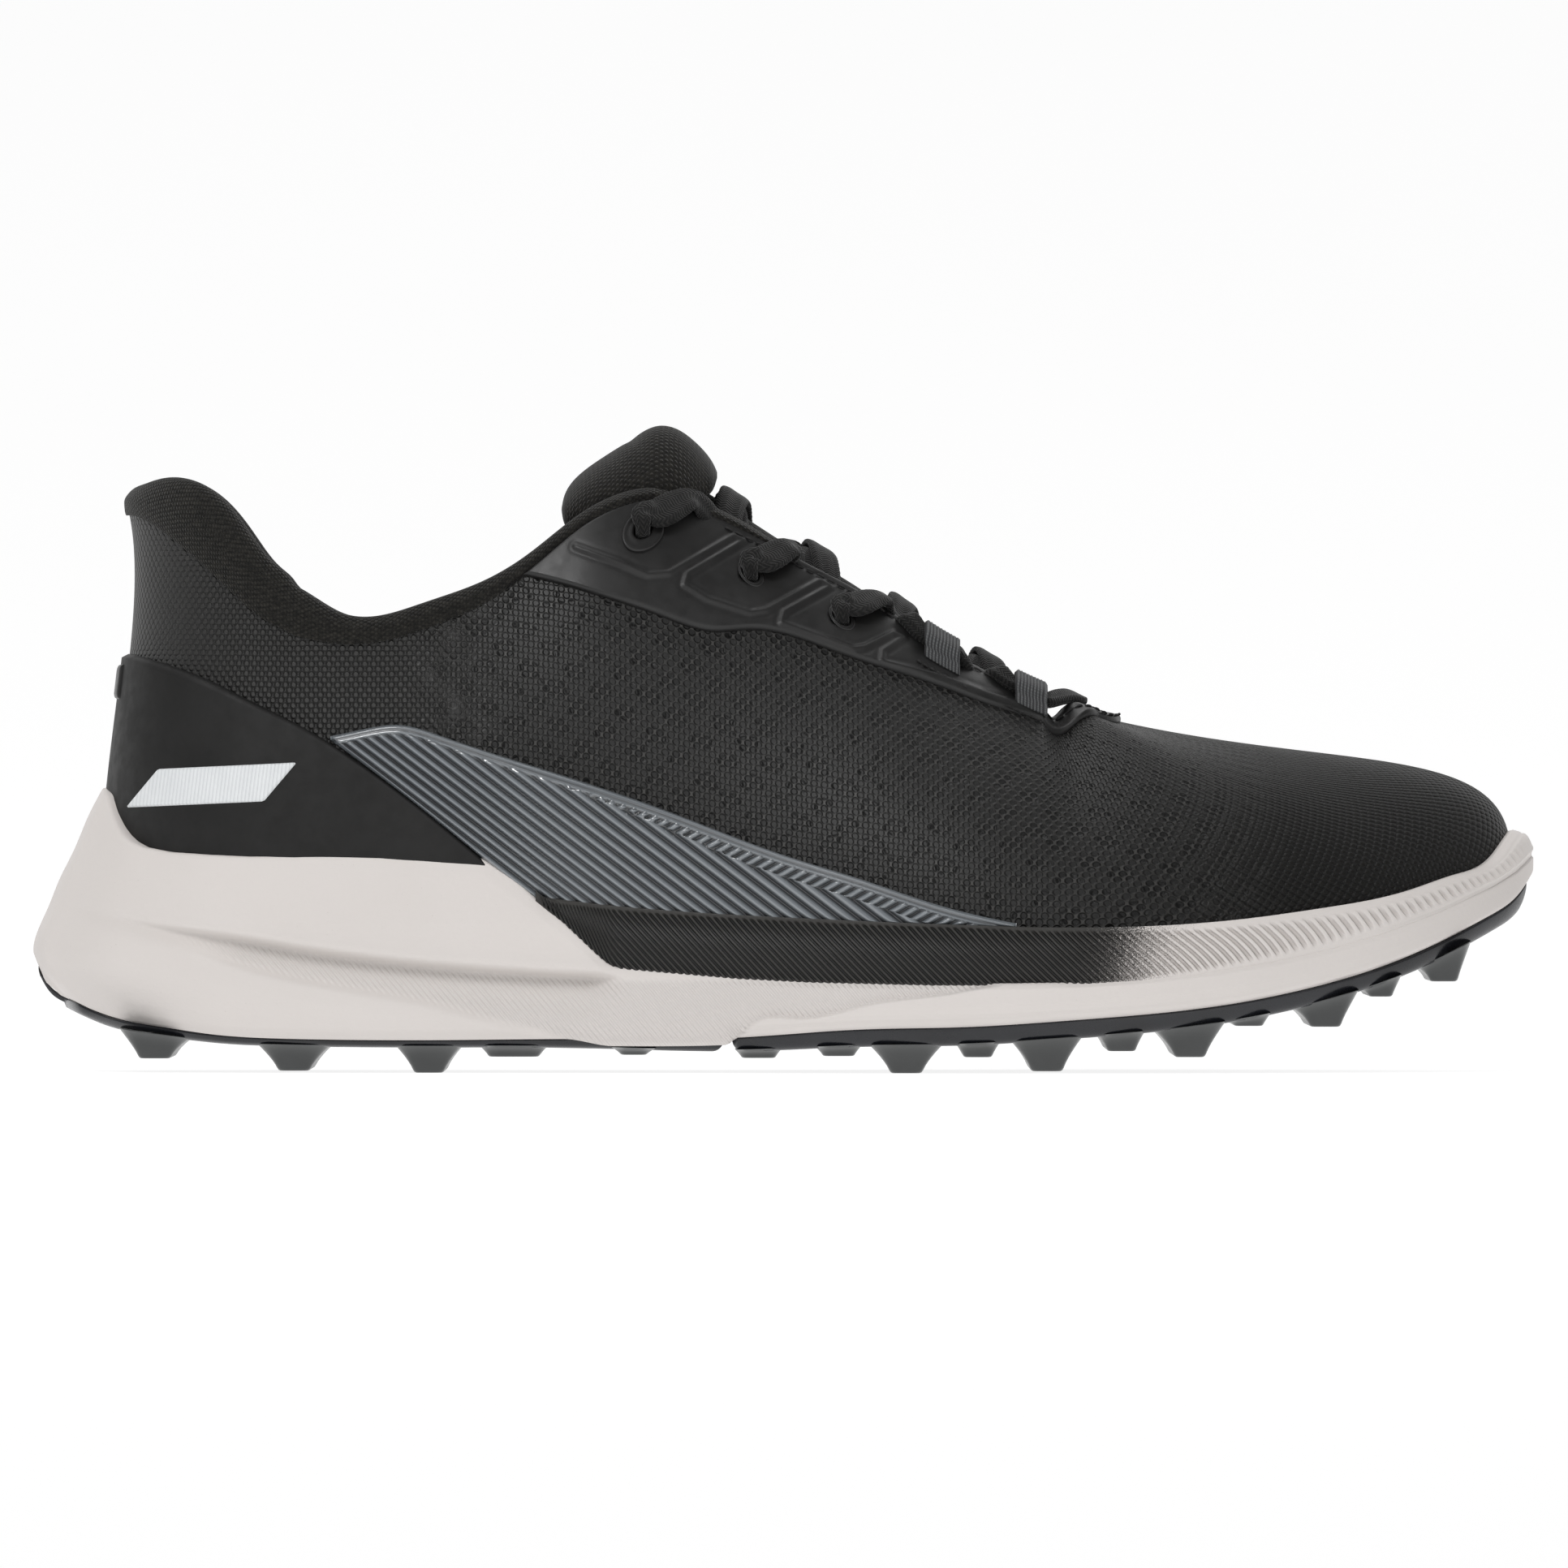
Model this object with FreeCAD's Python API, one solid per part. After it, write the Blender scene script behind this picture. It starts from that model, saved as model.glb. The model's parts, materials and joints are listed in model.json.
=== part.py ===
"""Spikeless slip-in golf shoe, right foot, as separate pieces.

Frame: +X points to the toe, +Y to the inner (medial) side, +Z up. The origin is on the ground
under the middle of the shoe. Units are millimetres.

The upper is built on one surface, the lasted shape. It is made of ribs, each in a vertical plane:
fanned round the heel, square to X along the middle, and fanned round the toe. A rib runs from the
foot bed's edge (v = 0) to the edge of the foot opening (v = 1) as a cubic Bezier curve. Station u
runs 0..1 round the heel, 1..2 along the side and 2..3 round the toe.
"""

import FreeCAD, Part
import math
import os

V = FreeCAD.Vector

# ---- driving dimensions -------------------------------------------------------------------
HALF_LENGTH = 151.0
GLUE = 0.25             # bond gap left between neighbouring pieces
SHELL = 1.4             # upper mesh thickness
FILM = 1.1              # eyestay film thickness
OVERLAY = 1.3           # heel overlay thickness
WING = 1.5              # side wing thickness
COUNTER = 1.2           # heel stiffener thickness
PUFF = 1.0              # toe stiffener thickness
LINING = 0.8
PLATE = 1.8             # outsole plate thickness
BOARD = 1.2             # strobel board thickness
SOCK = 4.5              # sockliner thickness
LACE_WIDTH = 8.0
LACE_THICK = 1.6
TAB = 1.2               # thickness of the tab at the back of the heel
HOLE_RADIUS = 2.25      # lace holes
CUTTER_REACH = 3.2      # how far their cutters reach to either side of the lasted surface
RING_RADIUS = 4.5
RING = 0.8              # thickness of the ring round the top hole

HEEL_AXIS = (-98.0, 0.0)    # centre of the heel fan of ribs
TOE_AXIS = (52.0, 0.0)      # centre of the toe fan of ribs
TOE_TURN = 2.4              # direction of the toe tip from the toe axis, degrees

LATERAL, MEDIAL = -1, 1


def x_station(x):
    """The station of a rib square to X."""
    return 1 + (x - HEEL_AXIS[0]) / (TOE_AXIS[0] - HEEL_AXIS[0])


class Spline:
    """Natural cubic spline through (t, value) pairs, in order of t."""

    def __init__(self, pairs):
        self.t = [p[0] for p in pairs]
        self.y = [p[1] for p in pairs]
        n = len(pairs)
        lower, diag, upper, right = [0.0] * n, [1.0] * n, [0.0] * n, [0.0] * n
        for i in range(1, n - 1):
            h0, h1 = self.t[i] - self.t[i - 1], self.t[i + 1] - self.t[i]
            lower[i], diag[i], upper[i] = h0, 2 * (h0 + h1), h1
            slope = (self.y[i + 1] - self.y[i]) / h1 - (self.y[i] - self.y[i - 1]) / h0
            right[i] = 6 * slope
        for i in range(1, n):
            w = lower[i] / diag[i - 1]
            diag[i] -= w * upper[i - 1]
            right[i] -= w * right[i - 1]
        self.m = [0.0] * n
        self.m[-1] = right[-1] / diag[-1]
        for i in range(n - 2, -1, -1):
            self.m[i] = (right[i] - upper[i] * self.m[i + 1]) / diag[i]

    def __call__(self, t):
        t = min(max(t, self.t[0]), self.t[-1])
        i = 0
        while i < len(self.t) - 2 and t > self.t[i + 1]:
            i += 1
        h = self.t[i + 1] - self.t[i]
        a, b = (self.t[i + 1] - t) / h, (t - self.t[i]) / h
        bend = (a**3 - a) * self.m[i] + (b**3 - b) * self.m[i + 1]
        return a * self.y[i] + b * self.y[i + 1] + bend * h * h / 6


def column(rows, k):
    return Spline([(row[0], row[k]) for row in rows])


# ---- the sole's outline -------------------------------------------------------------------
# x, outer and inner half width of the sole at its widest, up to the toe axis
OUTLINE = [
    (-151.0, 1.5, 1.5), (-150.3, 7.0, 7.0), (-148.0, 13.5, 13.0), (-142.0, 21.5, 21.0),
    (-132.0, 30.0, 29.0), (-118.0, 37.0, 35.5), (-100.0, 40.0, 38.0), (-80.0, 41.0, 37.2),
    (-60.0, 41.6, 35.8), (-40.0, 42.8, 35.4), (-20.0, 45.2, 37.0), (0.0, 48.6, 40.4),
    (20.0, 52.0, 44.8), (40.0, 54.0, 49.4), (52.0, 54.2, 51.5),
]
# station round the toe, and the outline's distance from the toe axis
TOE_OUTLINE = {
    LATERAL: Spline([
        (2.0, 54.2), (2.09, 54.6), (2.29, 57.7), (2.46, 63.8), (2.59, 71.0), (2.7, 79.4),
        (2.79, 86.5), (2.86, 92.2), (2.92, 96.4), (2.965, 98.4), (3.0, 99.1),
    ]),
    MEDIAL: Spline([
        (2.0, 51.5), (2.1, 53.4), (2.29, 59.9), (2.45, 67.8), (2.57, 75.4), (2.68, 83.1),
        (2.77, 90.0), (2.84, 95.2), (2.9, 98.2), (2.95, 99.2), (3.0, 99.1),
    ]),
}


def rib_plane(side, u):
    """The rib's axis point and its direction in plan."""
    if u <= 1:
        angle = math.pi + side * -math.pi / 2 * u
        return HEEL_AXIS, (math.cos(angle), math.sin(angle))
    if u < 2:
        x = HEEL_AXIS[0] + (u - 1) * (TOE_AXIS[0] - HEEL_AXIS[0])
        return (x, 0.0), (0.0, float(side))
    start, end = side * math.pi / 2, math.radians(TOE_TURN)
    angle = start + (u - 2) * (end - start)
    return TOE_AXIS, (math.cos(angle), math.sin(angle))


def in_plane(side, u, r, z):
    axis, d = rib_plane(side, u)
    return V(axis[0] + d[0] * r, axis[1] + d[1] * r, z)


def half_at(rows, x):
    """Half width at x, from rows of x and half width."""
    for (x0, y0), (x1, y1) in zip(rows, rows[1:]):
        if x0 <= x <= x1:
            return y0 + (y1 - y0) * (x - x0) / max(x1 - x0, 1e-9)
    return rows[0][1] if x < rows[0][0] else rows[-1][1]


def toe_rows(side):
    rows = []
    for k in range(81):
        u = 2 + k / 80
        p = in_plane(side, u, TOE_OUTLINE[side](u), 0)
        if not rows or p.x > rows[-1][0]:
            rows.append((p.x, p.y * side))
    return rows


SIDE_OUT = {LATERAL: column(OUTLINE, 1), MEDIAL: column(OUTLINE, 2)}
TOE_ROWS = {LATERAL: toe_rows(LATERAL), MEDIAL: toe_rows(MEDIAL)}


def sole_half(side, x):
    """Half width of the sole at x."""
    if x <= TOE_AXIS[0]:
        return SIDE_OUT[side](x)
    return half_at(TOE_ROWS[side], x)


def sole_reach(side, u):
    """Distance from a rib's axis to the sole's outline, along the rib's plane."""
    if u <= 1:
        raise ValueError("the heel's outline is given by x")
    if u < 2:
        return SIDE_OUT[side](rib_plane(side, u)[0][0])
    return TOE_OUTLINE[side](u)


# ---- the lasted shape ---------------------------------------------------------------------
# station, half width at the base: outer side, inner side
BASE = [
    (0.0, 37.3, 37.3), (0.28, 36.9, 36.6), (0.5, 36.4, 35.6), (0.75, 35.7, 34.5),
    (1.0, 35.5, 34.0), (x_station(-80), 36.3, 33.0), (x_station(-60), 37.0, 31.6),
    (x_station(-40), 38.2, 31.2), (x_station(-20), 41.0, 32.8), (x_station(0), 44.3, 36.2),
    (x_station(20), 47.8, 40.6), (x_station(37), 50.0, 44.8),
]
# round the toe the base follows the sole's outline, inside it by this much
TOE_INSET = Spline([(2.0, 3.9), (2.5, 4.2), (3.0, 5.0)])
BASE_TOE = [2.0, 2.1, 2.2, 2.3, 2.4, 2.5, 2.6, 2.7, 2.78, 2.85, 2.9, 2.95, 3.0]
# station, height of the base
BASE_HEIGHT = [
    (0.0, 34.0), (1.0, 34.0), (x_station(-80), 34.0), (x_station(-60), 33.6),
    (x_station(-40), 31.0), (x_station(-20), 27.6), (x_station(0), 24.6), (x_station(20), 22.2),
    (x_station(37), 20.8), (2.0, 20.3), (2.17, 20.6), (2.33, 21.4), (2.53, 24.0), (2.66, 27.2),
    (2.77, 31.0), (2.865, 35.0), (2.94, 38.2), (3.0, 39.4),
]
# station, distance of the opening's edge from the rib's axis, and its height
EDGE = [
    (0.0, 33.9, 113.0), (0.28, 33.1, 112.0), (0.54, 31.5, 105.2), (0.72, 30.5, 97.9),
    (0.89, 30.0, 91.4), (1.0, 29.9, 88.6), (x_station(-89), 30.9, 87.0),
    (x_station(-80), 31.5, 87.6), (x_station(-70), 31.3, 90.6), (x_station(-60), 30.2, 95.0),
    (x_station(-50), 27.8, 101.9), (x_station(-40), 24.2, 110.0), (x_station(-32), 20.4, 114.0),
    (x_station(-25), 17.0, 115.2), (x_station(-15), 14.0, 112.1), (x_station(-6), 13.0, 107.7),
    (x_station(5), 12.4, 101.8), (x_station(20), 12.0, 93.2), (x_station(30), 11.8, 85.9),
    (x_station(40), 11.0, 80.2), (2.0, 8.6, 74.2), (2.33, 8.0, 72.9), (2.66, 8.0, 72.4),
    (3.0, 8.0, 72.2),
]
# station, Bezier handles: out and up (share of the height) from the base, out from the edge
# and its height share
HANDLES = [
    (0.0, 2.5, 0.30, -4.9, 0.73), (0.5, 2.8, 0.31, -1.5, 0.73), (1.0, 3.2, 0.33, 0.8, 0.74),
    (x_station(-60), 4.2, 0.30, 4.4, 0.74), (x_station(-40), 5.0, 0.28, 11.5, 0.78),
    (x_station(-15), 5.2, 0.26, 16.0, 0.83), (x_station(5), 5.2, 0.27, 17.5, 0.83),
    (x_station(30), 5.4, 0.29, 21.0, 0.86), (2.0, 5.6, 0.31, 24.5, 0.87),
    (2.33, 5.4, 0.31, 28.0, 0.85), (2.53, 5.0, 0.34, 34.0, 0.82), (2.66, 4.8, 0.40, 40.0, 0.77),
    (2.77, 4.6, 0.50, 46.0, 0.71), (2.865, 4.5, 0.66, 50.0, 0.65), (3.0, 4.5, 0.90, 53.0, 0.59),
]


def base_side(side):
    rows = [(row[0], row[1 if side == LATERAL else 2]) for row in BASE]
    return Spline(rows + [(u, TOE_OUTLINE[side](u) - TOE_INSET(u)) for u in BASE_TOE])


BASE_SIDE = {LATERAL: base_side(LATERAL), MEDIAL: base_side(MEDIAL)}
BASE_Z = Spline(BASE_HEIGHT)
EDGE_R, EDGE_Z = column(EDGE, 1), column(EDGE, 2)
OUT_1, UP_1, OUT_2, UP_2 = (column(HANDLES, k) for k in (1, 2, 3, 4))


def rib_rz(side, u, v):
    """Distance from the rib's axis and height, at v along the rib."""
    rb, zb, re, ze = BASE_SIDE[side](u), BASE_Z(u), EDGE_R(u), EDGE_Z(u)
    height = ze - zb
    wide = (rb - re) / max(BASE_SIDE[LATERAL](u) - re, 1.0)
    r = (rb, rb + OUT_1(u), re + OUT_2(u) * wide, re)
    z = (zb, zb + UP_1(u) * height, zb + UP_2(u) * height, ze)
    w = ((1 - v) ** 3, 3 * v * (1 - v) ** 2, 3 * v * v * (1 - v), v**3)
    return sum(a * b for a, b in zip(w, r)), sum(a * b for a, b in zip(w, z))


def last_point(side, u, v, out=0.0):
    """A point of the lasted surface, moved outwards by out. It stays in its rib's plane."""
    r, z = rib_rz(side, u, v)
    if out:
        r0, z0 = rib_rz(side, u, max(v - 0.01, 0))
        r1, z1 = rib_rz(side, u, min(v + 0.01, 1))
        dr, dz = r1 - r0, z1 - z0
        size = math.hypot(dr, dz)
        r, z = r + out * dz / size, z - out * dr / size
    return in_plane(side, u, r, z)


def v_where(side, u, line):
    """The v at which the rib crosses a side-view line, height as a function of x."""
    low, high = 0.0, 1.0
    for _ in range(40):
        v = (low + high) / 2
        p = last_point(side, u, v)
        if p.z < line(p.x):
            low = v
        else:
            high = v
    return (low + high) / 2


# ---- the sole's shape ---------------------------------------------------------------------
# underside of the midsole foam, which is the top of the outsole plates
PLATE_TOP = Spline([
    (-151.0, 24.0), (-149.5, 20.1), (-144.5, 14.9), (-136.3, 11.3), (-125.0, 9.0), (-114.0, 7.6),
    (-98.0, 6.8), (-66.0, 6.6), (-45.0, 6.8), (-21.0, 6.8), (-8.0, 7.2), (14.0, 8.7),
    (37.0, 9.3), (53.5, 10.3), (74.0, 11.8), (93.0, 14.2), (107.0, 17.2), (121.0, 21.4),
    (132.0, 26.0), (143.0, 31.8), (148.5, 36.4), (151.0, 40.5),
])
# lower and upper edge of the ribbed forefoot rail
RAIL_LOW = Spline([
    (-52.0, 36.4), (-34.4, 21.8), (-24.0, 19.5), (-14.0, 18.4), (6.0, 17.5), (46.0, 17.0), (71.0, 18.0),
    (99.0, 21.6), (121.0, 27.3), (143.0, 36.3), (147.4, 39.0), (151.0, 42.5),
])
RAIL_TOP = Spline([
    (-62.0, 38.0), (-50.2, 35.9), (-23.8, 32.8), (6.0, 30.9), (45.0, 29.2), (71.0, 29.2),
    (92.5, 30.8), (107.0, 32.8), (118.0, 34.7), (126.3, 36.9), (134.7, 39.7), (142.0, 43.4),
    (146.0, 48.5), (151.0, 52.0),
])
# top edge of the foam cup round the heel
CUP_TOP = Spline([
    (-140.0, 57.0), (-136.5, 55.5), (-134.5, 49.5), (-127.5, 45.2), (-115.0, 43.6),
    (-92.0, 42.9), (-76.0, 43.0), (-61.6, 42.6), (-55.6, 38.0), (-47.4, 31.0), (-35.8, 20.0),
    (-30.0, 16.0),
])


def sole_stations(first, last, step=10.0):
    """x values from first to last, closer together near the round ends."""
    out, x = [], first
    while x < last - 0.01:
        out.append(x)
        edge = min(x + HALF_LENGTH, HALF_LENGTH - x)
        x += min(step, max(0.7, 0.28 * edge + 0.5))
    if last - out[-1] < 0.6 and len(out) > 2:
        out.pop()
    return out + [last]


# ---- making solids ------------------------------------------------------------------------
def sew(faces):
    shell = Part.makeShell(faces)
    shell.sewShape()
    solid = Part.makeSolid(shell)
    if solid.Volume < 0:
        solid.reverse()
    return solid


def strip_solid(sections):
    """A solid through closed sections of equal corner count: smooth along, straight across."""
    count = len(sections[0])
    centres = [sum(s, V()) * (1 / count) for s in sections]
    places = [0.0]
    for a, b in zip(centres, centres[1:]):
        places.append(places[-1] + max((b - a).Length, 0.05))
    curves = []
    for k in range(count):
        curve = Part.BSplineCurve()
        curve.interpolate(Points=[s[k] for s in sections], Parameters=places)
        curves.append(curve)
    faces = []
    for k in range(count):
        one, other = curves[k], curves[(k + 1) % count]
        surface = Part.BSplineSurface()
        surface.buildFromPolesMultsKnots(
            [one.getPoles(), other.getPoles()], [2, 2], one.getMultiplicities(), [0.0, 1.0],
            one.getKnots(), False, False, 1, one.Degree)
        faces.append(surface.toShape())
    for ring in (sections[0], sections[-1]):
        wire = Part.makePolygon(list(ring) + [ring[0]])
        try:
            cap = Part.Face(wire)
        except Part.OCCError:
            cap = Part.makeFilledFace(wire.Edges)
        faces.append(cap)
    return sew(faces)


def skin_section(side, u, low, high, inner, outer, rows):
    """The closed section of a skin lying on the lasted surface, from v = low to v = high."""
    vs = [low + (high - low) * k / (rows - 1) for k in range(rows)]
    out = [last_point(side, u, v, outer) for v in vs]
    back = [last_point(side, u, v, inner) for v in reversed(vs)]
    return out + back


def skin(side, stations, low, high, inner, outer, rows=7):
    """A skin over a range of stations of one side. low and high give v at a station."""
    return strip_solid([
        skin_section(side, u, low(u), high(u), inner, outer, rows) for u in stations
    ])


def span(a, b, count):
    return [a + (b - a) * k / (count - 1) for k in range(count)]


def both_sides(make):
    """One solid from the outer and inner halves, which meet in a rib's plane."""
    return make(LATERAL).fuse(make(MEDIAL)).removeSplitter()


def save(name, shape):
    solids = shape.Solids
    if not solids:
        raise ValueError(f"{name} has no solid")
    shape = solids[0] if len(solids) == 1 else Part.makeCompound(solids)
    ok = all(s.isValid() and s.isClosed() and s.Volume > 0 for s in solids)
    box = shape.BoundBox
    print(f"{name:28s} solids {len(solids):2d} valid {ok} volume {shape.Volume:10.1f} "
          f"x {box.XMin:7.1f}..{box.XMax:6.1f} y {box.YMin:6.1f}..{box.YMax:6.1f} "
          f"z {box.ZMin:6.1f}..{box.ZMax:6.1f}")
    shape.exportStep(f"parts/{name}.step")
    return shape


COLLAR_DEPTH = 22.0         # how far the collar's padding reaches down
COLLAR_END = -40.0          # x at which the collar ends and the vamp lining begins


# ---- upper --------------------------------------------------------------------------------
HEEL_FAN = span(0, 1, 9)
TOE_FAN = span(2, 3, 15)
ALL_STATIONS = HEEL_FAN + span(1, 2, 20)[1:-1] + TOE_FAN


def whole(_u):
    return 1.0


def ground(_u):
    return 0.0


def upper_shell():
    shell = both_sides(lambda s: skin(s, ALL_STATIONS, ground, whole, -SHELL, 0.0, 17))
    return shell.cut(hole_cutters(LATERAL) + hole_cutters(MEDIAL))


OVERLAY_TOP = Spline([
    (-134.0, 84.5), (-130.4, 83.8), (-116.4, 79.4), (-98.4, 70.3), (-91.2, 66.0), (-79.6, 57.9),
    (-68.2, 49.1), (-60.0, 43.0),
])


OVERLAY_LOW = Spline([      # just above the foam cup
    (-136.0, 59.0), (-133.0, 57.5), (-129.0, 50.0), (-124.0, 46.6), (-115.0, 44.8),
    (-92.0, 44.1), (-60.0, 44.3),
])


def heel_overlay():
    stations = HEEL_FAN + span(1, x_station(-64), 7)[1:]

    def make(side):
        return skin(
            side, stations, lambda u: v_where(side, u, OVERLAY_LOW),
            lambda u: v_where(side, u, OVERLAY_TOP), GLUE, GLUE + OVERLAY, 8)
    return both_sides(make)


WING_TOP = Spline([
    (-90.8, 67.6), (-84.7, 68.8), (-77.0, 69.6), (-68.2, 67.3), (-49.8, 61.3), (-23.8, 52.6),
    (0.0, 43.6), (16.2, 38.5), (32.3, 33.2), (46.0, 30.6),
])
WING_LOW = Spline([
    (-90.8, 66.8), (-79.6, 58.5), (-68.2, 49.8), (-59.0, 42.9), (-50.0, 36.4), (-40.6, 35.0),
    (-23.8, 33.2), (6.0, 31.3), (46.0, 29.6),
])


def side_wing(side):
    stations = span(x_station(-89.5), x_station(43), 20)
    return skin(side, stations, lambda u: v_where(side, u, WING_LOW),
                lambda u: v_where(side, u, WING_TOP), GLUE, GLUE + WING, 5)


EYESTAY_LOW = Spline([
    (-50.0, 99.3), (-42.4, 97.1), (-33.7, 94.4), (-25.6, 91.7), (-14.0, 88.2), (-6.6, 88.6),
    (-1.1, 88.0), (9.7, 84.4), (20.5, 80.8), (31.3, 77.3), (39.0, 74.4), (47.3, 71.8),
    (52.0, 70.4),
])
EYESTAY_FRONT_V = 0.95      # how far down the toe ribs the eyestay reaches
FILM_BOND = 0.45            # extra bond gap under the eyestay film
LACE_ROWS = [-28.2, -6.6, 11.7]             # x of the punched lace holes
LACE_HOLE_Z = {-28.2: 107.8, -6.6: 99.3, 11.7: 90.3}
LOOP_ROWS = [31.8, 50.0]                    # x of the webbing loops


def hole_place(side, row):
    """Where a lace hole is on the lasted surface: its point and outward direction."""
    u = x_station(row)
    v = v_where(side, u, lambda x: LACE_HOLE_Z[row])
    p = last_point(side, u, v)
    return p, last_point(side, u, v, 1.0) - p


def hole_cutters(side):
    cuts = []
    for row in LACE_ROWS:
        p, n = hole_place(side, row)
        cuts.append(Part.makeCylinder(HOLE_RADIUS, 2 * CUTTER_REACH, p - n * CUTTER_REACH, n))
    return cuts


def eyestay():
    fan = span(2, 3, 11)
    stations = span(x_station(-46), 2, 16)[:-1] + fan
    meet = v_where(LATERAL, 2.0, EYESTAY_LOW)

    def low(side, u):
        if u < 2:
            return v_where(side, u, EYESTAY_LOW)
        share = min(1.0, (u - 2) / 0.6)
        return meet + (EYESTAY_FRONT_V - meet) * share
    film = both_sides(
        lambda s: skin(
            s, stations, lambda u: low(s, u), lambda u: 0.985, GLUE + FILM_BOND, GLUE + FILM, 9))
    return film.cut(hole_cutters(LATERAL) + hole_cutters(MEDIAL))


def eyelet_ring(side):
    p, n = hole_place(side, LACE_ROWS[0])
    x, low = LACE_ROWS[0], GLUE + FILM + 0.15
    patch = skin(
        side, span(x_station(x - 6.5), x_station(x + 6.5), 6),
        lambda u: v_where(side, u, lambda x: LACE_HOLE_Z[LACE_ROWS[0]] - 6),
        lambda u: 0.98, low, low + RING, 5)
    ring = patch.common(Part.makeCylinder(RING_RADIUS, 16, p - n * 8, n))
    return ring.cut(Part.makeCylinder(HOLE_RADIUS, 16, p - n * 8, n))


def heel_counter():
    stations = HEEL_FAN + span(1, x_station(-72), 5)[1:]
    return both_sides(lambda s: skin(
        s, stations, lambda u: 0.03,
        lambda u: v_where(s, u, lambda x: min(80.0, EDGE_Z(u) - COLLAR_DEPTH - 0.6)),
        -SHELL - GLUE - COUNTER, -SHELL - GLUE, 8))


def toe_puff():
    stations = span(2.45, 3, 12)
    top = -SHELL - 2 * GLUE
    return both_sides(lambda s: skin(
        s, stations, lambda u: 0.03, lambda u: 0.52, top - PUFF, top, 10))


def vamp_lining():
    stations = span(x_station(COLLAR_END + 1), 2, 13)[:-1] + TOE_FAN
    depth = SHELL + PUFF + 3 * GLUE
    return both_sides(lambda s: skin(
        s, stations, lambda u: 0.03, lambda u: 0.80, -depth - LINING, -depth, 8))


# ---- collar -------------------------------------------------------------------------------
# station, rise of the padded roll above the shell's edge, and its thickness
ROLL = [
    (0.0, 4.6, 9.0), (0.2, 5.6, 9.4), (0.35, 8.5, 9.2), (0.5, 11.6, 8.8), (0.65, 13.4, 8.2),
    (0.8, 12.6, 7.6), (0.92, 10.6, 7.0), (1.0, 8.8, 6.6), (x_station(-90), 5.5, 6.0),
    (x_station(-74), 4.2, 5.6), (x_station(-53), 3.0, 5.4), (x_station(-46), 2.8, 5.0),
    (x_station(-34), 2.2, 4.2),
]
ROLL_RISE, ROLL_THICK = column(ROLL, 1), column(ROLL, 2)
COLLAR_STATIONS = HEEL_FAN + span(1, x_station(COLLAR_END), 9)[1:]


def rib_inside(side, u, v, depth):
    p = last_point(side, u, v, -depth)
    axis, d = rib_plane(side, u)
    return (p.x - axis[0]) * d[0] + (p.y - axis[1]) * d[1], p.z


def collar_foam_section(side, u):
    re, ze = EDGE_R(u), EDGE_Z(u)
    rise, thick = ROLL_RISE(u), ROLL_THICK(u)
    clear = SHELL + GLUE + COUNTER + GLUE
    deep = v_where(side, u, lambda x: ze - COLLAR_DEPTH)
    low_r, low_z = rib_inside(side, u, deep, clear)
    mid_r, mid_z = rib_inside(side, u, 0.88, clear - COUNTER)
    ring = [
        (low_r, low_z), (mid_r, mid_z), (re - SHELL - 2 * GLUE, ze + 0.2), (re + 0.2, ze + 0.6),
        (re + 0.6, ze + 0.5 * rise), (re - 0.25 * thick, ze + rise), (re - 0.7 * thick, ze + 0.8 * rise),
        (re - thick, ze + 0.1 * rise), (re - thick, ze - 8), (low_r - 2.0, low_z),
    ]
    return [in_plane(side, u, r, z) for r, z in ring]


def collar_foam():
    return both_sides(lambda s: strip_solid([collar_foam_section(s, u) for u in COLLAR_STATIONS]))


def collar_lining_section(side, u):
    re, ze = EDGE_R(u), EDGE_Z(u)
    rise, thick = ROLL_RISE(u), ROLL_THICK(u)
    clear = SHELL + 2 * GLUE + COUNTER + GLUE
    deep = v_where(side, u, lambda x: ze - COLLAR_DEPTH)
    low_r, low_z = rib_inside(side, u, deep, clear)
    foot_r, foot_z = rib_inside(side, u, 0.04, clear)
    shin_r, shin_z = rib_inside(side, u, deep * 0.5, clear)
    line = [
        (foot_r, foot_z), (shin_r, shin_z), (low_r - 2.4, low_z - 1.2),
        (re - thick - GLUE, ze - 8), (re - thick - GLUE, ze + 0.1 * rise),
    ]
    ring = line + [(r - LINING, z) for r, z in reversed(line)]
    return [in_plane(side, u, r, z) for r, z in ring]


def collar_lining():
    return both_sides(
        lambda s: strip_solid([collar_lining_section(s, u) for u in COLLAR_STATIONS]))


# ---- tongue -------------------------------------------------------------------------------
TONGUE_CROWN = Spline([
    (-18.0, 120.2), (-10.7, 116.6), (5.6, 106.4), (14.8, 101.0), (25.0, 93.6), (33.0, 88.2),
    (40.0, 83.6), (48.4, 78.4), (56.0, 73.6),
])
TONGUE_FOAM = 3.0
TONGUE_REAR, TONGUE_FRONT = -17.0, 50.0
TONGUE_DEPTH = SHELL + 3.7      # how far under the lasted surface the tongue's sides lie


def tongue_arc(x, lift):
    """Points across the tongue at x, from the outer side to the inner side, moved by lift."""
    u = x_station(x)
    half = []
    for side in (LATERAL, MEDIAL):
        points = [last_point(side, u, v, -TONGUE_DEPTH) for v in (0.9, 0.94, 0.985)]
        edge, crown = points[-1], TONGUE_CROWN(x)
        for share in (0.35, 0.7):
            z = edge.z + (crown - edge.z) * math.sin(math.pi / 2 * share)
            points.append(V(x, edge.y * (1 - share), z))
        half.append(points)
    top = half[0] + [V(x, 0, TONGUE_CROWN(x))] + half[1][::-1]
    moved = []
    for i, p in enumerate(top):
        a, b = top[max(i - 1, 0)], top[min(i + 1, len(top) - 1)]
        across = V(0, b.y - a.y, b.z - a.z)
        across.normalize()
        moved.append(V(x, p.y - across.z * lift, p.z + across.y * lift))
    return moved


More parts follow.
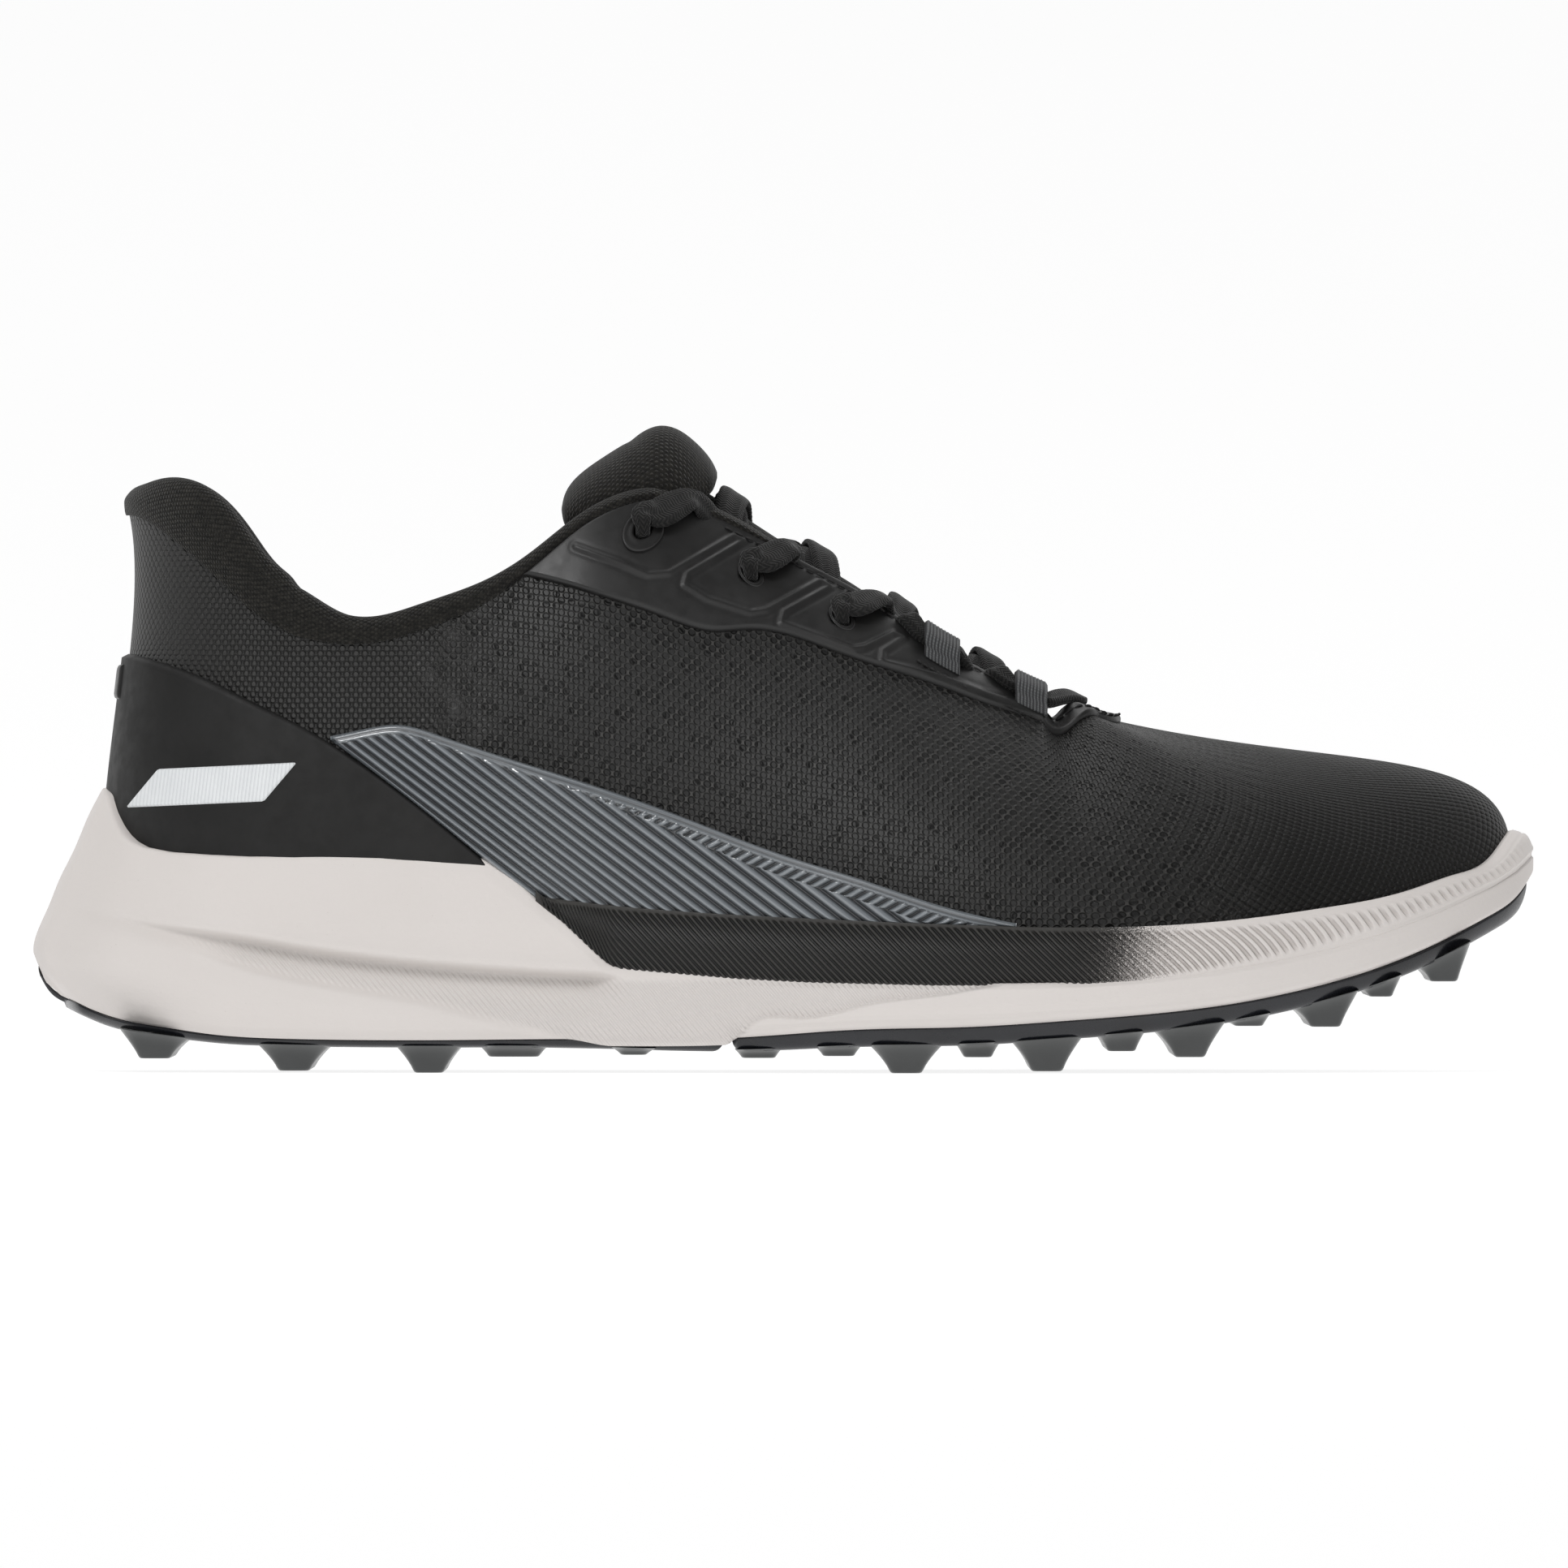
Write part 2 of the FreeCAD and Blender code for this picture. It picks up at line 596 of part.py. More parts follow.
def tongue_layer(low, high):
    sections = []
    for x in span(TONGUE_FRONT, TONGUE_REAR, 12):
        sections.append(tongue_arc(x, high) + tongue_arc(x, low)[::-1])
    return strip_solid(sections)


def tongue_foam():
    return tongue_layer(-0.7 - TONGUE_FOAM, -0.7)


def tongue_face():
    return tongue_layer(-0.5, 0.0)


def tongue_lining():
    return tongue_layer(-1.5 - TONGUE_FOAM, -0.9 - TONGUE_FOAM)


# x, height of the pad's top, height of its underside, half width, drop of its sides
TONGUE_PAD = [
    (-43.0, 115.0, 108.5, 18.0, 2.0), (-40.0, 118.6, 109.5, 18.5, 3.4),
    (-36.0, 121.0, 111.0, 18.5, 4.4), (-31.5, 124.6, 112.5, 17.5, 5.4),
    (-27.5, 128.6, 113.6, 16.5, 6.4), (-24.5, 130.0, 114.2, 16.0, 7.0),
    (-21.0, 128.2, 115.4, 14.6, 7.0), (-18.6, 124.6, 117.4, 12.5, 5.0),
]


def tongue_pad_section(x, top, bottom, half, drop):
    arc = [(-1.0, 1.0), (-0.92, 0.62), (-0.7, 0.3), (-0.4, 0.08), (0.0, 0.0)]
    arc += [(-a, d) for a, d in reversed(arc[:-1])]
    upper = [V(x, half * a, top - drop * d) for a, d in arc]
    lower = [V(x, half * a * 0.9, bottom - drop * d * 0.9) for a, d in reversed(arc)]
    return upper + lower


def tongue_pad():
    return strip_solid([tongue_pad_section(*row) for row in TONGUE_PAD])


# ---- sole ---------------------------------------------------------------------------------
PLATFORM_DROP = 1.3         # the foam's platform lies this far under the upper's lower edge
RAIL_BOND = 1.5             # and its outer edge this far under the rail
BACK = Spline([             # height on the foam's back wall, and its x
    (0.0, -136.0), (9.0, -140.0), (14.9, -144.5), (20.1, -149.5), (24.5, -151.0),
    (27.8, -150.3), (33.3, -147.9), (38.5, -145.8), (44.8, -142.7), (51.0, -140.1),
    (57.0, -137.0),
])


def base_outline(side, inset):
    """x and half width along the upper's lower edge, moved in by inset."""
    rows = []
    for k in range(121):
        u = 3 * k / 120
        p = in_plane(side, u, BASE_SIDE[side](u) - inset, 0)
        rows.append((p.x, abs(p.y) if p.y * side > 0 else -abs(p.y)))
    return rows


def toe_bed(side):
    """x and height along the upper's lower edge round the toe."""
    rows = []
    for k in range(61):
        u = 2 + k / 60
        x = in_plane(side, u, BASE_SIDE[side](u), 0).x
        if not rows or x > rows[-1][0]:
            rows.append((x, BASE_Z(u)))
    return rows


TOE_BED = {side: toe_bed(side) for side in (LATERAL, MEDIAL)}


def base_height(x):
    """Height of the upper's lower edge at x, on the lower of its two sides."""
    if x <= TOE_AXIS[0]:
        return BASE_Z(x_station(max(x, HEEL_AXIS[0])))
    return min(half_at(TOE_BED[LATERAL], x), half_at(TOE_BED[MEDIAL], x))


BED = {side: base_outline(side, 0.0) for side in (LATERAL, MEDIAL)}


def foam_half(side, x, z):
    """Half width of the foam at x and z. The round heel moves forwards with height."""
    back = BACK(z)
    if x < HEEL_AXIS[0]:
        x = -HALF_LENGTH + (x - back) * (HEEL_AXIS[0] + HALF_LENGTH) / (HEEL_AXIS[0] - back)
    lean = 0.14 * max(z - 30, 0) if x < -40 else 0.0
    return sole_half(side, x) - lean * min(1, (HALF_LENGTH + x) / 20)


def back_limit(x):
    """The foam's lowest and highest z at x, behind the heel's round."""
    low, high = 24.5, 57.0
    if x >= BACK(high):
        return high
    for _ in range(30):
        mid = (low + high) / 2
        if BACK(mid) < x:
            low = mid
        else:
            high = mid
    return low


def foam_section(x):
    bottom = PLATE_TOP(x)
    cup = x < -36
    top = min(CUP_TOP(x), back_limit(x)) if cup else RAIL_LOW(x) - RAIL_BOND
    top = max(top, bottom + 0.8)
    bed = base_height(x) - PLATFORM_DROP
    sink = min(1.0, max(0.0, (x + 127) / 12))
    platform = min(top, bed) + (bed - min(top, bed)) * sink if top < bed else \
        top + (bed - top) * sink
    ring = []
    for side in (LATERAL, MEDIAL):
        half = []
        for share, tuck in ((0, 0.12), (0.12, 0.045), (0.3, 0.015), (0.55, 0), (0.8, 0), (1, 0.012)):
            z = bottom + (top - bottom) * share
            half.append((foam_half(side, x, z) * (1 - tuck), z))
        inner = max(half_at(BED[side], x), 0.2 * half[-1][0])
        if top > bed:
            half += [(min(inner, half[-1][0]) * 0.9, top), (min(inner, half[-1][0]) * 0.8, platform)]
        else:
            half += [(min(inner, half[-1][0] * 0.97), platform), (inner * 0.6, platform)]
        ring.append([V(x, side * y, z) for y, z in half])
    return ring[0] + ring[1][::-1]


def last_cutter(side):
    """The space that one side of the upper's heel and waist takes out of the foam cup."""
    sections = []
    for u in HEEL_FAN + span(1, x_station(-30), 9)[1:]:
        rb, zb = BASE_SIDE[side](u), BASE_Z(u) - PLATFORM_DROP
        top = v_where(side, u, lambda x: 60.0)
        wall = [last_point(side, u, top * share, GLUE) for share in (0.0, 0.2, 0.45, 0.7, 1.0)]
        floor = in_plane(side, u, rb + GLUE, zb)
        inner = [in_plane(side, u, rb - 24, 60.0), in_plane(side, u, rb - 24, zb)]
        sections.append([floor] + wall + inner)
    return strip_solid(sections)


def midsole():
    foam = strip_solid([foam_section(x) for x in sole_stations(-150.9, 149.0)])
    return foam.cut(last_cutter(LATERAL)).cut(last_cutter(MEDIAL))


def rail_section(side, u):
    reach = sole_reach(side, u)
    axis, d = rib_plane(side, u)
    edge_x = axis[0] + d[0] * reach
    low = RAIL_LOW(edge_x)
    top_v = v_where(side, u, RAIL_TOP)
    top_out, top_in = last_point(side, u, top_v, GLUE + 0.8), last_point(side, u, top_v, GLUE)
    base_z = BASE_Z(u)
    foot = in_plane(side, u, BASE_SIDE[side](u) + GLUE, base_z)
    wall = [last_point(side, u, top_v * share, GLUE) for share in (0.05, 0.35, 0.7)]
    mid = (low + top_out.z) / 2
    outer = [
        in_plane(side, u, reach - 1.0, low), in_plane(side, u, reach, low + 2.0),
        in_plane(side, u, reach - 0.2, mid),
        in_plane(side, u, reach - 1.6, (mid + top_out.z) / 2 + 0.6),
    ]
    return [foot] + outer + [top_out, top_in] + wall[::-1]


def sidewall_rail():
    stations = span(x_station(-46), 2, 14)[:-1] + TOE_FAN
    return both_sides(lambda s: strip_solid([rail_section(s, u) for u in stations]))


def bed_layer(inset, low, high, low_rim=0.0, high_rim=0.0):
    """A layer on the foot bed, inside the upper's lower edge by inset, with raised rims."""
    rows = {side: base_outline(side, inset) for side in (LATERAL, MEDIAL)}
    sections = []
    for x in sole_stations(rows[LATERAL][0][0] + 0.6, rows[LATERAL][-1][0] - 0.6):
        z = base_height(x)
        left, right = -half_at(rows[LATERAL], x), half_at(rows[MEDIAL], x)
        middle = (left + right) / 2
        ring = [V(x, left, z + low + low_rim), V(x, middle, z + low), V(x, right, z + low + low_rim)]
        rim = z + high + high_rim
        sections.append(ring + [V(x, right, rim), V(x, middle, z + high), V(x, left, rim)])
    return strip_solid(sections)


def strobel_board():
    return bed_layer(SHELL + 2 * GLUE, 0.0, BOARD)


SOCK_INSET = SHELL + COUNTER + LINING + 2.2
SOCK_TOP_CLOTH = 0.8
SOCK_RIM = 1.0              # how much higher the sockliner's rim is than its middle


def sockliner_foam():
    return bed_layer(SOCK_INSET, BOARD + GLUE, BOARD + GLUE + SOCK, 0.0, SOCK_RIM)


def sockliner_cloth():
    low = BOARD + 2 * GLUE + SOCK
    return bed_layer(SOCK_INSET, low, low + SOCK_TOP_CLOTH, SOCK_RIM, SOCK_RIM)


# ---- outsole ------------------------------------------------------------------------------
LUG_DRAFT = 2.0             # how much smaller a lug is at its tip, each side
# x, height of the tip above the ground, length at the tip, spacing across the sole
HEEL_LUGS = [
    (-126.0, 2.8, 6.4, 15.0), (-98.0, 0.4, 6.4, 16.0), (-71.0, 0.0, 6.0, 16.0),
    (-54.0, 3.2, 10.0, 20.0), (-30.0, 3.6, 5.0, 20.0),
]
FORE_LUGS = [
    (-5.0, 3.0, 6.6, 18.0), (11.0, 3.4, 6.2, 18.0), (24.5, 0.0, 6.4, 16.0), (38.8, 3.2, 5.6, 20.0),
    (52.6, 0.4, 6.4, 16.0), (67.5, 4.4, 5.6, 20.0), (81.2, 3.2, 6.2, 16.0), (93.0, 9.4, 5.6, 20.0),
    (108.4, 9.2, 6.2, 16.0), (119.6, 15.2, 4.6, 20.0), (132.4, 18.2, 5.6, 15.0),
]


def plate(first, last):
    sections = []
    for x in sole_stations(first, last):
        z = PLATE_TOP(x) - GLUE
        left, right = sole_half(LATERAL, x), sole_half(MEDIAL, x)
        tuck = 0.13
        low = [V(x, -left * (1 - tuck) + 1, z - PLATE), V(x, right * (1 - tuck) - 1, z - PLATE)]
        high = [V(x, right * (1 - tuck), z), V(x, -left * (1 - tuck), z)]
        sections.append(low + high)
    return strip_solid(sections)


CORNERS = [(-1, -1), (1, -1), (1, 1), (-1, 1)]


def lug(x, y, tip, length, width, top):
    low = [V(x + a * length / 2, y + b * width / 2, tip) for a, b in CORNERS]
    wide = LUG_DRAFT
    high = [V(x + a * (length / 2 + wide), y + b * (width / 2 + wide), top) for a, b in CORNERS]
    faces = [Part.Face(Part.makePolygon(ring + ring[:1])) for ring in (low, high)]
    for k in range(4):
        j = (k + 1) % 4
        faces.append(Part.Face(Part.makePolygon([low[k], low[j], high[j], high[k], low[k]])))
    return sew(faces)


def lugs(rows):
    made = []
    for x, tip, length, pitch in rows:
        left = -sole_half(LATERAL, x) * 0.87 + 7
        right = sole_half(MEDIAL, x) * 0.87 - 7
        count = max(2, round((right - left) / pitch) + 1)
        top = min(PLATE_TOP(x - length), PLATE_TOP(x + length)) - GLUE - 0.4
        for y in span(left, right, count):
            made.append(lug(x, y, tip, length, 6.5, top))
    return made


def heel_outsole():
    return plate(-149.5, -12.0).fuse(lugs(HEEL_LUGS)).removeSplitter()


def forefoot_outsole():
    return plate(-9.5, 148.5).fuse(lugs(FORE_LUGS)).removeSplitter()


# ---- lace and its loops -------------------------------------------------------------------
LACE_CLEAR = 0.35           # gap between the lace and what it lies on
TONGUE_CLEAR = 1.6          # and between the lace and the tongue, which can move
HOLE_BUNCH = 3.0            # width of the lace where it is drawn through a hole
LOOP_BUNCH = 4.2            # and where it runs through a webbing loop
TURN_WIDTH = 3.6            # and where it turns over the throat's edge
# share of the way over the tongue, share of the upper lace's rise, and width
CROSSING_STEPS = [
    (0.2, 0.7, 5.2), (0.35, 1.0, 7.6), (0.5, 1.0, LACE_WIDTH), (0.65, 1.0, 7.6), (0.8, 0.6, 5.2),
]
CROSSING_STEP = 2.1         # how much higher the upper lace runs where two cross
LOOP_WIDTH = 7.0
LOOP_THICK = 0.9
ON_FILM = GLUE + FILM + LACE_CLEAR + LACE_THICK / 2
UNDER_SHELL = -(SHELL + LACE_CLEAR + LACE_THICK / 2)


def surface_normal(side, u, v):
    n = last_point(side, u, v, 1.0) - last_point(side, u, v)
    n.normalize()
    return n


def rib_up(side, u, v):
    t = last_point(side, u, min(v + 0.02, 1)) - last_point(side, u, v - 0.02)
    t.normalize()
    return t


def tongue_height(x, y):
    """Height of the tongue's face at x and y."""
    arc = tongue_arc(x, 0.0)
    for a, b in zip(arc, arc[1:]):
        if a.y <= y <= b.y:
            return a.z + (b.z - a.z) * (y - a.y) / max(b.y - a.y, 1e-6)
    return arc[0].z


def tongue_normal(x, y):
    along = V(4, 0, tongue_height(x + 2, y) - tongue_height(x - 2, y))
    across = V(0, 4, tongue_height(x, y + 2) - tongue_height(x, y - 2))
    n = along.cross(across)
    n.normalize()
    return n


def hole_turn(side, row, extra):
    """The lace's turn through a hole, from above the film to under the shell."""
    u = x_station(row)
    v = v_where(side, u, lambda x: LACE_HOLE_Z[row])
    n, t = surface_normal(side, u, v), rib_up(side, u, v)
    p = last_point(side, u, v)
    above, under = p + n * (ON_FILM + extra), p + n * UNDER_SHELL
    return [
        (above + t * 2.8, n, 5.0), (above, n - t * 0.6, HOLE_BUNCH),
        (p + n * 0.6 - t * 0.4, t * -1, HOLE_BUNCH), (p - n * 1.0 - t * 0.4, t * -1, HOLE_BUNCH),
        (under, t * -0.6 - n, HOLE_BUNCH), (under + t * 2.8, n * -1, 5.0),
    ]


def outer_run(side, x0, v0, x1):
    """Over the eyestay, from near a hole to the throat edge."""
    points = []
    for share, width in ((0.35, 6.4), (0.7, 5.6), (1.0, TURN_WIDTH)):
        x = x0 + (x1 - x0) * share
        u, v = x_station(x), v0 + (0.99 - v0) * share
        points.append((last_point(side, u, v, ON_FILM + 0.5), surface_normal(side, u, v), width))
    return points


def inner_rim(side, x):
    u = x_station(x)
    n = surface_normal(side, u, 0.96)
    return last_point(side, u, 0.955, UNDER_SHELL - 0.15), n * -1, TURN_WIDTH


def crossing(side, xs, start, end):
    """Over the tongue from one rim to the other. The lateral side's lace runs on top."""
    rise = CROSSING_STEP if side == LATERAL else 0.0
    points = []
    for share, lift, width in CROSSING_STEPS:
        x = xs[0] + (xs[1] - xs[0]) * share
        y = start.y + (end.y - start.y) * share
        n = tongue_normal(x, y)
        p = V(x, y, tongue_height(x, y)) + n * (TONGUE_CLEAR + LACE_THICK / 2 + rise * lift)
        points.append((p, n, width))
    return points


def loop_run(side, row, toward_toe):
    """Through a webbing loop, along the throat edge."""
    points = []
    for dx in (-4.2, 0.0, 4.2):
        u = x_station(row + dx)
        n = surface_normal(side, u, 0.95)
        points.append((last_point(side, u, 0.95, ON_FILM), n, LOOP_BUNCH))
    return points if toward_toe else points[::-1]


def half_lace(side):
    """One half of the lace: from its end inside the top hole to the front of the throat."""
    rows = LACE_ROWS + LOOP_ROWS
    first = x_station(LACE_ROWS[0])
    route = [(last_point(side, first, 0.96, UNDER_SHELL), surface_normal(side, first, 0.96) * -1,
              LACE_WIDTH)]
    here = side
    for i, row in enumerate(rows):
        if i < len(LACE_ROWS):
            top = i == 0
            route += hole_turn(here, row, RING + 0.1 if top else 0.0)[::-1]
            v = v_where(here, x_station(row), lambda x: LACE_HOLE_Z[row])
            route += outer_run(here, row, v, row + (10.0 if top else 4.5))
        else:
            route += loop_run(here, row, True)
        if i == len(rows) - 1:
            break
        start = route[-1][0]
        if i + 1 < len(LACE_ROWS):
            end_x = rows[i + 1] - 2.5
            end = inner_rim(-here, end_x)
        else:
            end_x = rows[i + 1] - 7.0
            u = x_station(end_x)
            end = (last_point(-here, u, 0.975, ON_FILM + 0.3), surface_normal(-here, u, 0.975),
                   TURN_WIDTH)
        begin_x = -14.0 if i == 0 else start.x
        route += crossing(here if i % 2 == 0 else -here, (begin_x, end_x), start, end[0])
        route.append(end)
        here = -here
    front = TOE_AXIS[0] + 4.4
    route.append((V(front, here * 6.4, 76.8), V(0.3, here * 0.4, 1), LOOP_BUNCH))
    return route


def oriented(route):
    """The route with each frame turned the same way up as the one before it."""
    made, last = [], None
    for p, n, width in route:
        n = V(n)
        n.normalize()
        if last and n.dot(last) < 0:
            n = n * -1
        made.append((p, n, width))
        last = n
    return made


def lace():
    middle = [(V(TOE_AXIS[0] + 7.2, 0, 76.0), V(0.3, 0, 1), LOOP_BUNCH)]
    route = oriented(half_lace(LATERAL) + middle + half_lace(MEDIAL)[::-1])
    sections, length = [], 0.0
    for i, (p, n, width) in enumerate(route):
        a, b = route[max(i - 1, 0)][0], route[min(i + 1, len(route) - 1)][0]
        along = b - a
        along.normalize()
        across = n.cross(along)
        across.normalize()
        up = along.cross(across)
        w, t = across * (width / 2), up * (LACE_THICK / 2)
        sections.append([p - w - t, p + w - t, p + w + t, p - w + t])
        if i:
            length += (p - route[i - 1][0]).Length
    print(f"lace route {length:.0f} mm")
    return strip_solid(sections)


def lace_loop(side, row):
    """A webbing loop: out of the eyestay, over the lace and the throat edge, and back inside."""
    over = ON_FILM + LACE_THICK / 2 + 0.6
    path = [(0.855, GLUE + FILM + 0.3), (0.89, GLUE + FILM + 0.7), (0.91, over), (0.96, over + 0.2),
            (1.0, over - 0.8)]
    sections = []
    for dx in (-LOOP_WIDTH / 2, 0.0, LOOP_WIDTH / 2):
        u = x_station(row + dx)
        outer = [last_point(side, u, v, h + LOOP_THICK) for v, h in path]
        inner = [last_point(side, u, v, h) for v, h in path]
        edge = last_point(side, u, 1.0)
        t = rib_up(side, u, 1.0)
        tip_in, tip_out = edge + t * 0.5, edge + t * (0.5 + LOOP_THICK)
        n = surface_normal(side, u, 1.0)
        deep = -(SHELL + 0.35)
        back_near = last_point(side, u, 0.95, deep)
        back_far = last_point(side, u, 0.95, deep - LOOP_THICK)
        outer += [tip_out + n * 1.2, tip_out - n * (SHELL + 0.5), back_far]
        inner += [tip_in + n * 0.6, tip_in - n * (SHELL + 0.3), back_near]
        sections.append(outer + inner[::-1])
    return strip_solid(sections)


def heel_tab():
    """The small raised tab sewn on the heel's centre line, above the overlay."""
    def make(side):
        stations = span(0.0, 0.14, 4)
        out = GLUE + OVERLAY + 0.2
        return skin(side, stations, lambda u: v_where(side, u, lambda x: 75.0),
                    lambda u: v_where(side, u, lambda x: 81.5), out, out + TAB, 4)
    return both_sides(make)


def main():
    os.makedirs("parts", exist_ok=True)
    save("upper_shell", upper_shell())
    save("heel_overlay", heel_overlay())
    save("heel_tab", heel_tab())
    save("heel_counter", heel_counter())
    save("toe_puff", toe_puff())
    save("vamp_lining", vamp_lining())
    save("eyestay", eyestay())
    save("collar_foam", collar_foam())
    save("collar_lining", collar_lining())
    save("tongue_foam", tongue_foam())
    save("tongue_face", tongue_face())
    save("tongue_lining", tongue_lining())
    save("tongue_pad", tongue_pad())
    save("lace", lace())
    for side, name in ((LATERAL, "lateral"), (MEDIAL, "medial")):
        save(f"side_wing_{name}", side_wing(side))
        save(f"eyelet_ring_{name}", eyelet_ring(side))
        for row, place in zip(LOOP_ROWS, ("rear", "front")):
            save(f"lace_loop_{name}_{place}", lace_loop(side, row))
    save("midsole", midsole())
    save("sidewall_rail", sidewall_rail())
    save("strobel_board", strobel_board())
    save("sockliner_foam", sockliner_foam())
    save("sockliner_cloth", sockliner_cloth())
    save("heel_outsole", heel_outsole())
    save("forefoot_outsole", forefoot_outsole())


main()
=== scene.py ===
"""Looks of the golf shoe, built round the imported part.

Everything is worked out in millimetres on the same lasted surface as the CAD part and turned into
metres when a mesh is made. A place on the surface is (w, v): w goes once round the shoe, 0 at the
heel, 3 at the toe and 6 at the heel again, by the outer side first; v is 0 at the foot bed's edge
and 1 at the edge of the foot opening.
"""
import json
import math

import bpy
import numpy as np
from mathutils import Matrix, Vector

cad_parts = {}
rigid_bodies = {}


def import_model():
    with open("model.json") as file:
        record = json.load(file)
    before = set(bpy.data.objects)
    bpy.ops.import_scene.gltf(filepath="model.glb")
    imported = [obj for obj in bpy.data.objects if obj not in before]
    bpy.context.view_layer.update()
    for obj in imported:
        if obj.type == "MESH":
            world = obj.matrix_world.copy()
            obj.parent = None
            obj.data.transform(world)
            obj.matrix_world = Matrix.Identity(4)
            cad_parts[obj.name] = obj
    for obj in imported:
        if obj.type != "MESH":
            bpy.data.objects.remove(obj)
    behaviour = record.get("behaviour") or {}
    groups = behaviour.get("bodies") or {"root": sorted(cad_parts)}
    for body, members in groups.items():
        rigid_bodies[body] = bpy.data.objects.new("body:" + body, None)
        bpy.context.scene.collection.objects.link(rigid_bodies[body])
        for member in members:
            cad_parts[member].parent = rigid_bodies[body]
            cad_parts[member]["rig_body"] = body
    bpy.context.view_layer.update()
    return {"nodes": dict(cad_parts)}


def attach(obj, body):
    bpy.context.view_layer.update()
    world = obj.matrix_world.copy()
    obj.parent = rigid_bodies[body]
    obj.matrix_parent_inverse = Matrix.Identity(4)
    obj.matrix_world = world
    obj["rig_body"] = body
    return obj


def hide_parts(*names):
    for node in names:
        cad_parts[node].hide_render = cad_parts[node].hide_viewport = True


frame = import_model()

MM = 0.001
GLUE, SHELL, FILM, OVERLAY, WING, RING, LINING = 0.25, 1.4, 1.1, 1.3, 1.5, 0.8, 0.8
HEEL_X, TOE_X = -98.0, 52.0
TOE_TURN = math.radians(2.4)
LACE_THICK = 1.6
HOLE_RADIUS = 2.3


def station(x):
    return 1 + (x - HEEL_X) / (TOE_X - HEEL_X)


class Spline:
    """Natural cubic spline through (t, value) pairs, for arrays."""

    def __init__(self, pairs):
        self.t, self.y = np.array(pairs, float).T
        n = len(self.t)
        h = np.diff(self.t)
        a, right = np.eye(n), np.zeros(n)
        for i in range(1, n - 1):
            a[i, i - 1:i + 2] = h[i - 1], 2 * (h[i - 1] + h[i]), h[i]
            slopes = np.diff(self.y)[i - 1:i + 1] / h[i - 1:i + 1]
            right[i] = 6 * (slopes[1] - slopes[0])
        self.m = np.linalg.solve(a, right)

    def __call__(self, t):
        t = np.clip(t, self.t[0], self.t[-1])
        i = np.clip(np.searchsorted(self.t, t) - 1, 0, len(self.t) - 2)
        h = self.t[i + 1] - self.t[i]
        a, b = (self.t[i + 1] - t) / h, (t - self.t[i]) / h
        bend = (a**3 - a) * self.m[i] + (b**3 - b) * self.m[i + 1]
        return a * self.y[i] + b * self.y[i + 1] + bend * h * h / 6


def polyline(pairs):
    """Straight lines through (t, value) pairs, for edges with a corner in them."""
    t, values = np.array(pairs, float).T
    return lambda at: np.interp(at, t, values)


def column(rows, k):
    return Spline([(row[0], row[k]) for row in rows])


# ---- the lasted shape, as in the CAD part ---------------------------------------------------
OUTLINE = [
    (-151.0, 1.5, 1.5), (-150.3, 7.0, 7.0), (-148.0, 13.5, 13.0), (-142.0, 21.5, 21.0),
    (-132.0, 30.0, 29.0), (-118.0, 37.0, 35.5), (-100.0, 40.0, 38.0), (-80.0, 41.0, 37.2),
    (-60.0, 41.6, 35.8), (-40.0, 42.8, 35.4), (-20.0, 45.2, 37.0), (0.0, 48.6, 40.4),
    (20.0, 52.0, 44.8), (40.0, 54.0, 49.4), (52.0, 54.2, 51.5),
]
TOE_OUTER = Spline([
    (2.0, 54.2), (2.09, 54.6), (2.29, 57.7), (2.46, 63.8), (2.59, 71.0), (2.7, 79.4),
    (2.79, 86.5), (2.86, 92.2), (2.92, 96.4), (2.965, 98.4), (3.0, 99.1),
])
TOE_INNER = Spline([
    (2.0, 51.5), (2.1, 53.4), (2.29, 59.9), (2.45, 67.8), (2.57, 75.4), (2.68, 83.1),
    (2.77, 90.0), (2.84, 95.2), (2.9, 98.2), (2.95, 99.2), (3.0, 99.1),
])
BASE = [
    (0.0, 37.3, 37.3), (0.28, 36.9, 36.6), (0.5, 36.4, 35.6), (0.75, 35.7, 34.5),
    (1.0, 35.5, 34.0), (station(-80), 36.3, 33.0), (station(-60), 37.0, 31.6),
    (station(-40), 38.2, 31.2), (station(-20), 41.0, 32.8), (station(0), 44.3, 36.2),
    (station(20), 47.8, 40.6), (station(37), 50.0, 44.8),
]
TOE_INSET = Spline([(2.0, 3.9), (2.5, 4.2), (3.0, 5.0)])
BASE_TOE = [2.0, 2.1, 2.2, 2.3, 2.4, 2.5, 2.6, 2.7, 2.78, 2.85, 2.9, 2.95, 3.0]
BASE_Z = Spline([
    (0.0, 34.0), (1.0, 34.0), (station(-80), 34.0), (station(-60), 33.6), (station(-40), 31.0),
    (station(-20), 27.6), (station(0), 24.6), (station(20), 22.2), (station(37), 20.8),
    (2.0, 20.3), (2.17, 20.6), (2.33, 21.4), (2.53, 24.0), (2.66, 27.2), (2.77, 31.0),
    (2.865, 35.0), (2.94, 38.2), (3.0, 39.4),
])
EDGE = [
    (0.0, 33.9, 113.0), (0.28, 33.1, 112.0), (0.54, 31.5, 105.2), (0.72, 30.5, 97.9),
    (0.89, 30.0, 91.4), (1.0, 29.9, 88.6), (station(-89), 30.9, 87.0), (station(-80), 31.5, 87.6),
    (station(-70), 31.3, 90.6), (station(-60), 30.2, 95.0), (station(-50), 27.8, 101.9),
    (station(-40), 24.2, 110.0), (station(-32), 20.4, 114.0), (station(-25), 17.0, 115.2),
    (station(-15), 14.0, 112.1), (station(-6), 13.0, 107.7), (station(5), 12.4, 101.8),
    (station(20), 12.0, 93.2), (station(30), 11.8, 85.9), (station(40), 11.0, 80.2),
    (2.0, 8.6, 74.2), (2.33, 8.0, 72.9), (2.66, 8.0, 72.4), (3.0, 8.0, 72.2),
]
